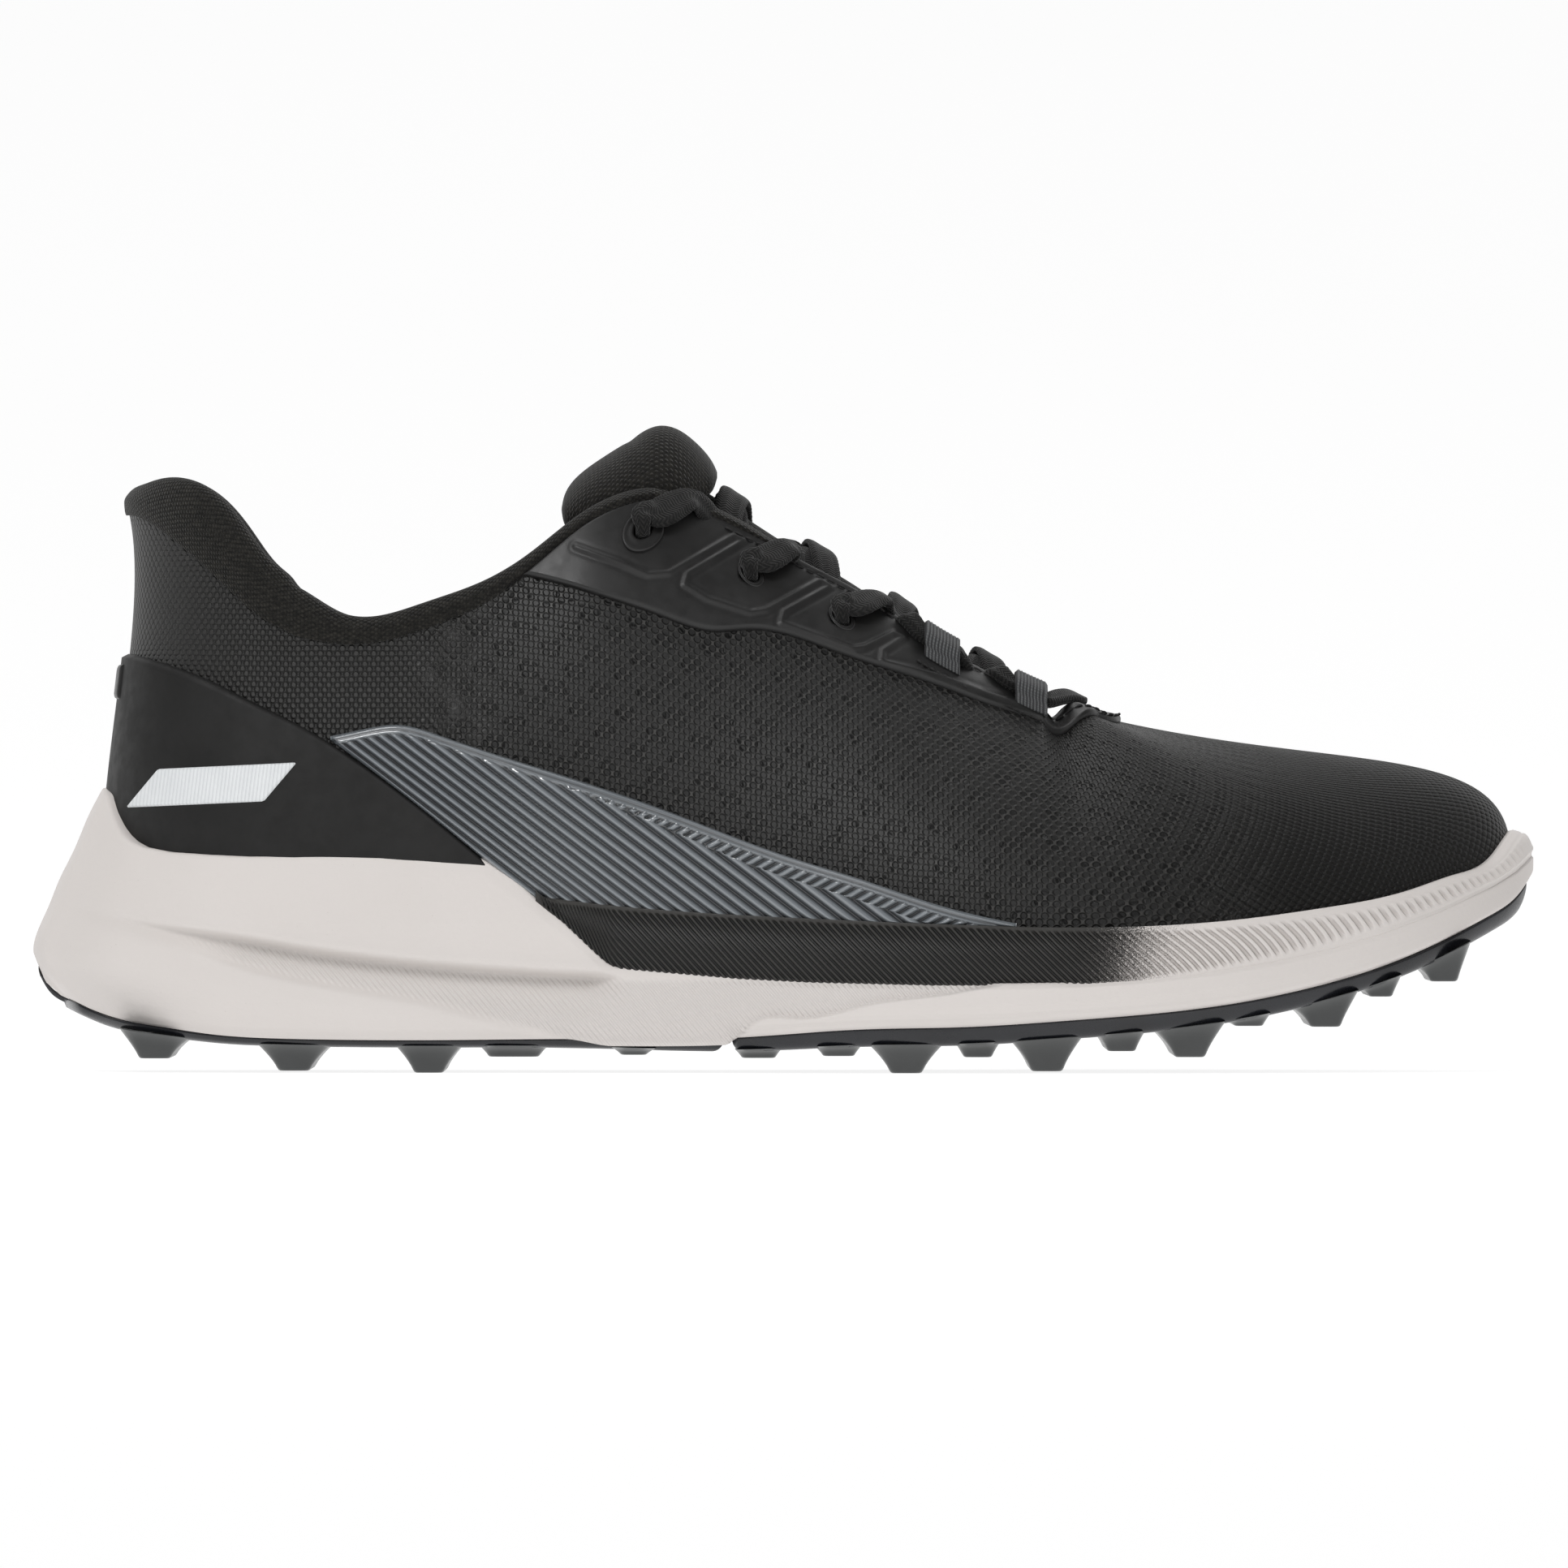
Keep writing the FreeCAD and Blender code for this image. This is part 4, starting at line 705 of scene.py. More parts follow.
HOLE_POINTS = [last(*hole_place(side, row)) for side, _ in SIDES for row in LACE_HOLES]


def pits(flat, radius, depth):
    """Round holes sunk into a skin where the lace goes through."""
    out = np.zeros(flat.shape[:-1])
    for p in HOLE_POINTS:
        away = np.linalg.norm(flat - p, axis=-1)
        out = out - depth * (1 - smooth(radius - 0.3, radius + 0.25, away))
    return out


def mesh_upper():
    w = walk(0, 6, 1.15)[:-1]
    v = np.concatenate([np.linspace(0, 0.8, 40), np.linspace(0.81, 1, 34)])
    grid_w, grid_v = np.meshgrid(w, v, indexing="ij")
    flat = last(grid_w, grid_v)
    top = last(grid_w, grid_v, pits(flat, HOLE_RADIUS + 0.4, 4.2))
    inside_v = np.linspace(1, 0.86, 8)
    inside = last(*np.meshgrid(w, inside_v, indexing="ij"), -SHELL)
    across, along = lengths(flat, 1), lengths(flat, 0)
    middle = along[:, 24][:, None]
    uv = np.stack(np.broadcast_arrays(middle, across), -1)
    rim = across[:, -1:] + np.arange(1, 9) * 1.2
    uv = np.concatenate([uv, np.stack(np.broadcast_arrays(middle, rim), -1)], 1)
    piece = make("mesh_upper", np.concatenate([top, inside], 1), LOOKS["mesh"], "shoe", uv, ring_i=True)
    return outward(piece)


mesh = mesh_upper()
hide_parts("upper_shell")

OVERLAY_TOP = Spline([
    (-136.0, 84.4), (-132.4, 84.1), (-129.0, 83.4), (-123.0, 81.6), (-116.4, 79.2), (-107.4, 74.8),
    (-98.4, 70.3), (-91.2, 66.2), (-79.6, 58.2), (-68.2, 49.4), (-59.0, 41.9), (-54.0, 37.9),
])
OVERLAY_LOW = Spline([
    (-138.0, 51.0), (-133.0, 45.0), (-129.0, 42.5), (-115.0, 41.0), (-92.0, 40.8), (-64.0, 40.4),
    (-59.0, 38.6), (-54.0, 35.4),
])
w = walk(-station(-54.5), station(-54.5), 1.0)
low = v_where(w, OVERLAY_LOW)
overlay = panel("heel_overlay_skin", w, low, np.maximum(v_where(w, OVERLAY_TOP), low + 0.004), 1.0, GLUE,
                OVERLAY, LOOKS["overlay"], 1.0)
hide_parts("heel_overlay")

w = walk(-0.15, 0.15, 0.4, 0.7)
low, high = v_where(w, lambda x: 74.6 + 0 * x), v_where(w, lambda x: 81.8 + 0 * x)
tab = panel("heel_nub", w, low, high, 0.4, GLUE + OVERLAY - 0.2, 0.9, LOOKS["film"], 1.4, back=0.4)
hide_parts("heel_tab")

for side, name in SIDES:
    a, b = np.meshgrid(np.linspace(-1, 1, 60), np.linspace(-1, 1, 26), indexing="ij")
    w, v = locate(side, -114.0 + 13.5 * a + 3.2 * b, 57.4 + 0.6 * a + 3.9 * b)
    edge = np.minimum(1 - abs(a), (1 - abs(b)) * 0.33)
    points = last(w, v, GLUE + OVERLAY - 0.1 + 0.55 * rounded(edge, 0.035))
    uv = np.stack([13.5 * a, 3.9 * b], -1)
    patch = make(f"heel_patch_{name}", points if side < 0 else points[::-1], LOOKS["patch"], "shoe",
                 uv if side < 0 else uv[::-1])

# ---- the wings --------------------------------------------------------------------------------
WING_TOP = Spline([
    (-90.8, 67.3), (-84.7, 68.6), (-77.0, 69.6), (-68.2, 67.3), (-49.8, 61.3), (-23.8, 52.6), (0.0, 43.6),
    (16.2, 38.5), (32.3, 33.2), (46.0, 30.0),
])
WING_LOW = Spline([
    (-90.8, 66.6), (-79.6, 58.2), (-68.2, 49.3), (-59.0, 41.6), (-50.0, 34.6), (-40.6, 33.2),
    (-23.8, 31.8), (6.0, 30.0), (46.0, 28.6),
])
WING_SLOPE = math.radians(37)
WING_BORDER = 2.1


def wing_ribs(flat, across):
    """0 in a groove to 1 on a rib: close together at the rear tip, wider towards the toe."""
    x, z = flat[..., 0], flat[..., 2]
    pitch, growth = 1.5, 0.021
    q = np.maximum(x * math.sin(WING_SLOPE) + z * math.cos(WING_SLOPE) + 3.6, 0)
    phase = np.log1p(growth * q / pitch) / growth
    other = (z * math.cos(0.5) - x * math.sin(0.5)) / 1.7
    rest = across[:, -1:] - across
    band = WING_BORDER + 2.4 * smooth(-48, -5, x)
    phase = np.where(rest < band, np.where(x > -48, other, phase), phase)
    rib = 1 - abs(2 * (phase % 1) - 1) ** 1.5
    return rib * smooth(WING_BORDER - 0.25, WING_BORDER + 0.35, rest), rest


def wing_relief(flat, distance, across):
    rib, rest = wing_ribs(flat, across)
    line = 0.22 * np.exp(-((rest - 1.25) / 0.26) ** 2)
    raised = 0.62 * (1 - smooth(WING_BORDER - 0.3, WING_BORDER + 0.3, rest))
    return (1.15 * rib * smooth(0.0, 0.55, rib) + raised - line) * smooth(0.1, 0.9, distance)


# share of the wing in its own tone: 0 in the grooves and the border's line, where painted shade goes
def wing_mask(flat, across):
    rib, rest = wing_ribs(flat, across)
    border = 1 - smooth(WING_BORDER - 0.3, WING_BORDER + 0.3, rest)
    border = border * (1 - 0.8 * np.exp(-((rest - 1.25) / 0.3) ** 2))
    return np.maximum(smooth(0.15, 0.95, rib), border), 0 * rib


for side, name in SIDES:
    w = walk(on_side(side, station(-90.7)), on_side(side, station(46.5)), 0.3)
    low, high = v_where(w, WING_LOW), v_where(w, WING_TOP)
    high = np.maximum(high, low + 0.004)
    wing = panel(f"wing_{name}", w, low, high, 0.3, GLUE, WING - 0.65, LOOKS["wing"], 0.7, wing_relief,
                 mask=wing_mask)
    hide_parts(f"side_wing_{name}")

# ---- the sole ---------------------------------------------------------------------------------
PLATE_TOP = Spline([
    (-151.0, 24.0), (-149.5, 20.1), (-144.5, 14.9), (-136.3, 11.3), (-125.0, 9.0), (-114.0, 7.6),
    (-98.0, 6.8), (-66.0, 6.6), (-45.0, 6.8), (-21.0, 6.8), (-8.0, 7.2), (14.0, 8.7), (37.0, 9.3),
    (53.5, 10.3), (74.0, 11.8), (93.0, 14.2), (107.0, 17.2), (121.0, 21.4), (132.0, 26.0),
    (143.0, 31.8), (148.5, 36.4), (151.0, 40.5),
])
RAIL_LOW = polyline([
    (-58.9, 42.2), (-57.0, 40.9), (-54.8, 39.2), (-48.7, 33.7), (-42.5, 27.9), (-35.6, 21.4), (-34.6, 20.7),
    (-33.2, 20.3), (-20.0, 19.2), (-9.0, 18.3), (6.0, 17.6), (30.0, 17.1), (46.0, 17.1), (60.0, 17.4),
    (71.0, 18.1), (85.0, 19.6), (99.0, 21.8), (110.0, 24.2), (121.0, 27.4), (132.0, 31.4), (143.0, 36.5),
    (147.4, 39.2), (151.0, 42.5),
])
RAIL_TOP = Spline([
    (-62.0, 38.0), (-50.2, 35.9), (-23.8, 32.8), (6.0, 30.9), (45.0, 29.2), (71.0, 29.2), (92.5, 30.8),
    (107.0, 32.8), (118.0, 34.7), (126.3, 36.9), (134.7, 39.7), (142.0, 43.4), (146.0, 48.5),
    (151.0, 52.0),
])
CUP_TOP = polyline([
    (-137.3, 56.8), (-136.2, 54.6), (-135.2, 51.2), (-134.2, 48.8), (-133.0, 47.1), (-131.4, 45.8),
    (-128.9, 44.7), (-123.1, 43.7), (-115.0, 43.2), (-107.0, 42.9), (-92.0, 43.0), (-71.0, 42.9),
    (-63.0, 42.8), (-60.4, 42.6), (-58.9, 42.2),
])
BACK = Spline([
    (0.0, -136.0), (9.0, -140.0), (14.9, -144.5), (20.1, -149.5), (24.5, -151.0), (27.8, -150.3),
    (33.3, -147.9), (38.5, -145.8), (44.8, -142.7), (51.0, -140.1), (57.0, -137.0),
])
TOE_U = np.linspace(2, 3, 600)
TOE_EDGE = {s: in_plane(on_side(s, TOE_U), (TOE_OUTER if s < 0 else TOE_INNER)(TOE_U), 0) for s in (-1, 1)}


def sole_half(side, x):
    """Half width of the sole at x."""
    middle = (SIDE_OUTER if side < 0 else SIDE_INNER)(x)
    toe = np.interp(x, TOE_EDGE[side][:, 0], TOE_EDGE[side][:, 1] * side)
    return np.where(x <= TOE_X, middle, toe)


def foam_half(side, x, z):
    """Half width of the foam at x and z: its heel leans forwards with height."""
    back = BACK(z)
    near = -151.0 + (x - back) * (HEEL_X + 151.0) / (HEEL_X - back)
    x = np.where(x < HEEL_X, near, x)
    lean = np.where(x < -40, 0.14 * np.maximum(z - 30, 0), 0) * np.clip((151 + x) / 20, 0, 1)
    half = sided(side, SIDE_OUTER, SIDE_INNER, np.clip(x, -151, TOE_X))
    return np.where(x < -150.99, -1.0, half - lean)


def foam_reach(w, z):
    """Distance from the rib's axis to the foam's outline at height z."""
    w, z = np.broadcast_arrays(w, z)
    side, u = side_station(w)
    axis, cx, cy = rib_plane(w)
    toe = sided(side, TOE_OUTER, TOE_INNER, u)
    low, high = np.zeros(w.shape), np.full(w.shape, 62.0)
    for _ in range(24):
        r = (low + high) / 2
        inside = abs(cy) * r < foam_half(side, axis + cx * r, z)
        low, high = np.where(inside, r, low), np.where(inside, high, r)
    return np.where(u >= 2, toe, np.where(u > 1, foam_half(side, axis, z), low))


CREASE = Spline([
    (-151.0, 35.0), (-144.8, 33.8), (-139.1, 32.8), (-127.0, 30.4), (-111.5, 28.1), (-95.8, 25.5),
    (-80.3, 23.4), (-66.2, 22.0), (-34.4, 20.1),
])
HATCH_LOW = Spline([
    (-125.0, 27.0), (-118.7, 24.5), (-103.6, 19.8), (-85.3, 16.2), (-66.2, 12.4), (-58.4, 10.1),
    (-49.1, 7.6), (-45.0, 6.4), (-38.0, 4.0),
])
HATCH_FRONT = Spline([
    (-14.0, 2.0), (-9.9, 5.7), (-8.4, 7.7), (2.9, 10.8), (16.9, 13.6), (30.9, 15.5), (42.2, 17.5),
    (60.0, 20.0),
])


def waist(x):
    """1 between the two plates, where the foam bulges down past them."""
    return smooth(-44, -34, x) * (1 - smooth(-11.5, -9, x))


def foam_relief(p):
    """Undercut below the crease, and the two smooth fields that stand proud of the hatched one; also a
    painted shade mask for the band under the crease.
    """
    x, z = p[..., 0], p[..., 2]
    under = CREASE(x) - z
    strength = smooth(-148, -100, x) * (1 - smooth(-40, -30, x))
    out = -2.6 * strength * smooth(0, 1.5, under) * (1 - smooth(1.6, 12.0, under))
    out = out + 0.7 * strength * np.exp(-((under + 0.9) / 1.4) ** 2)
    # painted shade: a mask for darkening the foam's colour just under the crease
    shade = strength * smooth(-0.2, 1.6, under) * (1 - smooth(1.6, 6.0, under))
    rear = (1 - smooth(-0.8, 1.4, z - HATCH_LOW(x))) * smooth(-128, -110, x) * (1 - smooth(-46, -38, x))
    front = (1 - smooth(-0.25, 0.5, z - HATCH_FRONT(x))) * smooth(-14, -9, x) * (1 - smooth(45, 62, x))
    hatch = smooth(0.8, 2.4, under) * smooth(0, 2, z - HATCH_LOW(x)) * smooth(0, 0.6, z - HATCH_FRONT(x))
    hatch = hatch * smooth(-125, -105, x) * (1 - smooth(44, 52, x))
    return out + 1.0 * rear + 1.0 * front, hatch, shade


def midsole():
    w = walk(0, 6, 0.85, 0.0)[:-1][:, None]
    levels = 66
    share = np.linspace(0, 1, levels)[None, :]
    tuck = np.interp(share, [0, 0.05, 0.12, 0.2, 0.3, 0.5, 0.9, 1],
                     [0.09, 0.054, 0.032, 0.018, 0.009, 0, 0, 0.01])
    z = np.full((len(w), levels), 22.0)
    for _ in range(14):
        r = foam_reach(w, z)
        x = in_plane(w, r, z)[..., 0]
        bottom = PLATE_TOP(x) - 1.4 * waist(x)
        top = np.where(x < -58.9, CUP_TOP(x), RAIL_LOW(x) + 0.5 * smooth(-52, -44, x))
        z = 0.5 * z + 0.5 * (bottom + np.maximum(top - bottom, 1) * share)
    tuck = tuck * abs(rib_plane(w)[2]) ** 1.5
    wall = in_plane(w, r * (1 - tuck), z)
    out, hatch, shade = foam_relief(wall)
    radius = r * (1 - tuck) + out
    low_r = radius[:, :1]
    top_r, top_z = radius[:, -1:], z[:, -1:]
    seat = v_where(w, lambda _x: np.maximum(top_z, BASE_Z(side_station(w)[1]) + 0.5))
    seat_r = rib_rz(w, seat)[0]
    inner = np.minimum(seat_r - 0.8, top_r - 1.0)
    lip = [(top_r - 0.3, top_z + 0.35), (top_r - 0.9, top_z + 0.45), (inner, top_z + 0.3),
           (inner - 1, top_z - 3)]
    under = [(low_r * k, PLATE_TOP(in_plane(w, low_r * k, 0)[..., 0]))
             for k in (0.01, 0.3, 0.6, 0.85, 0.96)]
    r_all = np.concatenate([a for a, _ in under] + [radius] + [a for a, _ in lip], 1)
    z_all = np.concatenate([b for _, b in under] + [z] + [b for _, b in lip], 1)
    points = in_plane(w, r_all, z_all)
    mask = np.zeros((*points.shape[:2], 2))
    # the mask's second channel carries the painted shade under the crease
    mask[:, 5:-4, 0], mask[:, 5:-4, 1] = hatch, shade
    uv = np.stack(np.broadcast_arrays(lengths(points, 0)[:, 40][:, None], lengths(points, 1)), -1)
    return outward(make("midsole_cup", points, LOOKS["foam"], "shoe", uv, mask, True))


sole = midsole()
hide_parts("midsole")


def rail():
    w = walk(station(-49.6), 6 - station(-49.6), 0.26)[:, None]
    side, u = side_station(w)
    axis, cx, cy = rib_plane(w)
    reach = np.where(u < 2, sided(side, SIDE_OUTER, SIDE_INNER, axis), sided(side, TOE_OUTER, TOE_INNER, u))
    low = RAIL_LOW(axis + cx * reach)
    top_v = v_where(w, RAIL_TOP)
    x = axis + cx * reach
    top = last(w, top_v, GLUE + 0.8 + 1.3 * smooth(-52, -46, x) * (1 - smooth(38, 55, x)))
    top_r, top_z = (top[..., 0] - axis) * cx + top[..., 1] * cy, top[..., 2]
    mid = (low + top_z) / 2
    keys = [(reach - 2.6, low + 0.1), (reach - 0.9, low), (reach - 0.05, low + 2.0), (reach - 0.25, mid),
            (reach - 1.5, (mid + top_z) / 2 + 0.6), (top_r, top_z)]
    profile = open_curve(np.stack([np.concatenate(k, 1) for k in keys]), 9)
    r, z = profile[..., 0].T, profile[..., 1].T
    dr, dz = np.gradient(r, axis=1), np.gradient(z, axis=1)
    size = np.hypot(dr, dz) + 1e-6
    up = np.cumsum(size, 1)
    white = smooth(60, 125, in_plane(w, r, z)[..., 0])
    s = lengths(in_plane(w, reach, low)[:, 0], 0)
    s = np.minimum(s, s[-1] - s)[:, None]
    pitch = 1.5 + 0.7 * white[:, 20:21]
    order = np.concatenate([[0], np.cumsum(np.diff(s[:, 0]) / pitch[1:, 0])])[:, None]
    slope = 1.0 - 0.65 * white
    phase = order + slope * (z - low) / pitch
    groove = (0.5 + 0.5 * np.cos(2 * math.pi * phase)) ** 1.6
    below, above = up - up[:, 9:10], up[:, -1:] - up
    room = smooth(0.4 + 1.6 * white, 1.3 + 3.2 * white, below)
    room = room * smooth(0.5 + 1.2 * white, 1.4 + 2.6 * white, above)
    room = room * smooth(0.02, 0.16, abs(w - 3)) * smooth(0, 3, s)
    deep = 0.7 * groove * room * (1 - 0.35 * white)
    lip = 0.2 * white * np.exp(-((above - 1.9) / 0.3) ** 2)
    lip = lip + 0.15 * white * np.exp(-((below - 1.7) / 0.35) ** 2)
    r, z = r - (deep + lip) * dz / size, z + (deep + lip) * dr / size
    inside = last(w, top_v * np.array([[1.0, 0.6, 0.2]]), -0.4)
    inner_r = (inside[..., 0] - axis) * cx + inside[..., 1] * cy
    r, z = np.concatenate([r, inner_r], 1), np.concatenate([z, inside[..., 2]], 1)
    points = in_plane(w, r, z)
    mask = np.zeros((*points.shape[:2], 2))
    mask[:, :-3, 0], mask[:, :-3, 1] = room, phase + 0.25
    uv = np.stack(np.broadcast_arrays(s, lengths(points, 1)), -1)
    return tube("rail_band", points, "rail", "shoe", uv, mask)


band = rail()
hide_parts("sidewall_rail")

PLATE_DEPTH = Spline([(-150.0, 2.2), (-20.0, 2.6), (0.0, 3.3), (90.0, 3.6), (150.0, 3.2)])


def plate(name, first, last_x, node):
    x = np.linspace(0, math.pi, 260)
    x = first + (last_x - first) * (1 - np.cos(x)) / 2
    x = np.unique(np.concatenate([x, np.linspace(first, last_x, 200)]))[:, None]
    a = np.sin(np.linspace(-math.pi / 2, math.pi / 2, 61))[None, :]
    rim = 0.905 * (1 - 0.1 * waist(x))
    left, right = [side * rim * np.where(x < HEEL_X, np.maximum(foam_half(side, x, PLATE_TOP(x)), 0.3),
                                         sole_half(side, x)) for side in (-1, 1)]
    y = (left + right) / 2 + a * (right - left) / 2
    edge = np.minimum(np.minimum(y - left, right - y), np.minimum(x - first, last_x - x))
    top = PLATE_TOP(x) + 0.15
    z = top - 0.5 - (PLATE_DEPTH(x) - 0.5) * rounded(edge, 2.4)
    dish = 0.5 * np.exp(-((edge - 5.2) / 0.8) ** 2)
    points = np.stack(np.broadcast_arrays(x, y, z + dish), -1)
    upper = np.stack(np.broadcast_arrays(x, np.concatenate([right, left], 1), top), -1)
    points = np.concatenate([points, upper], 1)
    uv = points[..., :2]
    piece = tube(name, points, "plate", "shoe", uv)
    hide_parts(node)


plate("heel_plate", -149.9, -12.0, "heel_outsole")
plate("forefoot_plate", -10.3, 149.4, "forefoot_outsole")

# x, height of the tip, length at the tip, spacing across the sole, length at the plate
HEEL_LUGS = [
    (-126.0, 2.8, 6.4, 15.0, 14.5), (-98.0, 0.4, 6.4, 16.0, 15.0), (-71.0, 0.0, 6.0, 16.0, 13.5),
    (-54.0, 3.2, 10.0, 20.0, 14.0), (-30.0, 3.6, 5.0, 20.0, 9.0),
]
FORE_LUGS = [
    (-5.0, 3.0, 6.6, 18.0, 9.5), (11.0, 3.4, 6.2, 18.0, 9.5), (24.5, 0.0, 6.4, 16.0, 15.0),
    (38.8, 3.2, 5.6, 20.0, 9.0), (52.6, 0.4, 6.4, 16.0, 14.5), (67.5, 4.4, 5.6, 20.0, 9.5),
    (81.2, 3.2, 6.2, 16.0, 14.5), (93.0, 9.4, 5.6, 20.0, 9.0), (108.4, 9.2, 6.2, 16.0, 13.5),
    (119.6, 15.2, 4.6, 20.0, 8.5), (132.4, 18.2, 5.6, 15.0, 11.0),
]


def lugs(name, rows):
    """Blunt pyramids whose sides sweep out into the plate, joined along the edge."""
    angle = np.linspace(0, 2 * math.pi, 40, endpoint=False)
    square = (abs(np.cos(angle)) ** 5 + abs(np.sin(angle)) ** 5) ** -0.2
    ring_x, ring_y = np.cos(angle) * square, np.sin(angle) * square
    levels = np.array([0.0, 0.0, 0.03, 0.1, 0.25, 0.4, 0.55, 0.68, 0.8, 0.9, 0.97, 1.0])
    inset = np.array([1.0, 0.45, 0.12, 0, 0, 0, 0, 0, 0, 0, 0, 0])
    verts, faces = [], []
    for x, tip, length, pitch, base in rows:
        left, right = -sole_half(-1, x) * 0.87 + 5.2, sole_half(1, x) * 0.87 - 5.2
        for y in np.linspace(left, right, max(2, round((right - left) / pitch) + 1)):
            flare = 0.75 * levels + (base / 2 - length / 2 - 0.75) * levels**1.45
            wide = 0.9 * levels + 2.4 * levels**3.4
            half_x = (length / 2 + flare) * np.where(inset == 1, 0.02, 1) - np.where(inset == 1, 0, inset)
            half_y = (3.3 + wide) * np.where(inset == 1, 0.02, 1) - np.where(inset == 1, 0, inset)
            px = x + half_x[:, None] * ring_x
            py = y + half_y[:, None] * ring_y
            foot = PLATE_TOP(px) - PLATE_DEPTH(px) + 0.6
            pz = tip + (np.maximum(foot, tip + 0.5) - tip) * levels[:, None]
            start = len(verts)
            verts += np.stack([px, py, pz], -1).reshape(-1, 3).tolist()
            faces += stacked_rings(start, len(levels), len(angle))
    from_faces(name, verts, faces, "lug", "shoe")


lugs("heel_lugs", HEEL_LUGS)
lugs("forefoot_lugs", FORE_LUGS)

# ---- the eyestay ------------------------------------------------------------------------------
EYESTAY_LOW = Spline([
    (-57.0, 99.9), (-53.2, 99.6), (-48.0, 98.6), (-42.4, 97.1), (-33.7, 94.4), (-25.6, 91.7),
    (-14.0, 88.2), (-6.6, 88.6), (-1.1, 88.0), (9.7, 84.4), (20.5, 80.8), (31.3, 77.3), (39.0, 74.4),
    (47.3, 71.8), (52.0, 70.4),
])
CHEVRONS = np.array([
    (-41.6, 104.7), (-33.6, 101.9), (-27.2, 99.2), (-22.8, 99.5), (-9.9, 106.8), (-7.9, 105.8),
    (-19.2, 99.3), (-19.8, 97.2), (-15.3, 94.4), (-6.6, 91.5), (-3.3, 92.0), (7.4, 97.7), (9.4, 96.5),
    (0.2, 91.6), (-0.4, 89.5), (14.0, 84.1), (16.3, 84.4), (22.1, 87.1), (24.1, 86.2), (20.0, 83.6),
    (19.7, 81.3), (31.0, 78.6), (41.0, 74.8), (50.0, 71.9),
])


def film_relief(flat, distance, across):
    """A raised line that zigzags between the lace holes, and the holes themselves."""
    p = flat[..., [0, 2]]
    nearest = np.full(p.shape[:-1], 1e3)
    for a, b in zip(CHEVRONS[:-1], CHEVRONS[1:]):
        t = np.clip(((p - a) @ (b - a)) / ((b - a) @ (b - a)), 0, 1)
        nearest = np.minimum(nearest, np.linalg.norm(p - a - t[..., None] * (b - a), axis=-1))
    ridge = 0.36 * np.exp(-((nearest / 0.5) ** 2)) - 0.1 * np.exp(-(((nearest - 1.1) / 0.4) ** 2))
    seam = -0.2 * np.exp(-(((across[:, -1:] - across) - 2.3) / 0.6) ** 2) * smooth(-14, -8, flat[..., 0])
    return (ridge + seam) * smooth(0.3, 1.2, distance) + pits(flat, HOLE_RADIUS, 4.0)


w = walk(station(-56.0), 6 - station(-56.0), 0.42, 0.9)
side, u = side_station(w)
meet = np.where(side < 0, v_where(np.array(2.0), EYESTAY_LOW), v_where(np.array(4.0), EYESTAY_LOW))
low = np.where(u < 2, v_where(w, EYESTAY_LOW), meet + (0.95 - meet) * np.minimum(1, (u - 2) / 0.6))
film = panel("eyestay_skin", w, np.minimum(low, 0.982), np.full_like(w, 0.988), 0.42, GLUE - 0.1,
             FILM + 0.1, LOOKS["film"], 0.9, film_relief)
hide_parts("eyestay")


def ring(name, side, row, inner, outer, lift, thick):
    """A flat-topped ring round a lace hole, its wall going down into the hole."""
    w0, v0 = hole_place(side, row)
    du = np.linalg.norm(last(w0 + 0.01, v0) - last(w0 - 0.01, v0)) / 0.02
    dv = np.linalg.norm(last(w0, v0 + 0.01) - last(w0, v0 - 0.01)) / 0.02
    angle = np.linspace(0, 2 * math.pi, 72, endpoint=False)[:, None]
    rho = np.array([inner, inner, inner + 0.1, inner + 0.3])
    high = np.array([-2.4, 0.6, 0.9, 1.0])
    span_r = np.linspace(inner + 0.55, outer - 0.35, 5)
    rho = np.concatenate([rho, span_r, [outer - 0.12, outer, outer]])[None, :]
    high = np.concatenate([high, 1 - 0.12 * np.sin(np.linspace(0, math.pi, 5)), [0.92, 0.6, -0.4]])[None, :]
    points = last(w0 + rho * np.cos(angle) / du, v0 + rho * np.sin(angle) / dv, lift + thick * high)
    uv = np.stack([rho * np.cos(angle), rho * np.sin(angle)], -1)
    return outward(make(name, points, LOOKS["film"], "shoe", uv, ring_i=True))


for side, name in SIDES:
    eyelet = ring(f"eyelet_{name}", side, -28.2, 2.0, 4.6, GLUE + FILM, RING)
    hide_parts(f"eyelet_ring_{name}")
    for row, place in ((-6.6, "middle"), (11.7, "lower")):
        rim = ring(f"lace_hole_{name}_{place}", side, row, 1.95, 2.9, GLUE + FILM - 0.2, 0.45)

# ---- collar -----------------------------------------------------------------------------------
# station, rise of the roll above the shell's edge, thickness, and how deep it goes inside
ROLL = [
    (0.0, 4.6, 9.4, 18.0), (0.2, 5.6, 9.8, 18.0), (0.35, 8.5, 9.6, 18.0), (0.5, 11.6, 9.2, 18.0),
    (0.65, 13.4, 8.6, 18.0), (0.8, 12.6, 8.0, 18.0), (0.92, 10.6, 7.4, 18.0), (1.0, 8.8, 7.0, 17.0),
    (station(-90), 5.5, 6.4, 16.0), (station(-74), 4.2, 6.0, 15.0), (station(-53), 3.0, 5.6, 13.0),
    (station(-46), 2.8, 5.2, 11.0), (station(-34), 2.3, 4.0, 6.5), (station(-22), 2.0, 3.4, 4.6),
    (station(-8), 1.6, 3.0, 3.6), (station(1), 1.0, 2.4, 3.0),
]
RISE, THICK, DEEP = (column(ROLL, k) for k in (1, 2, 3))


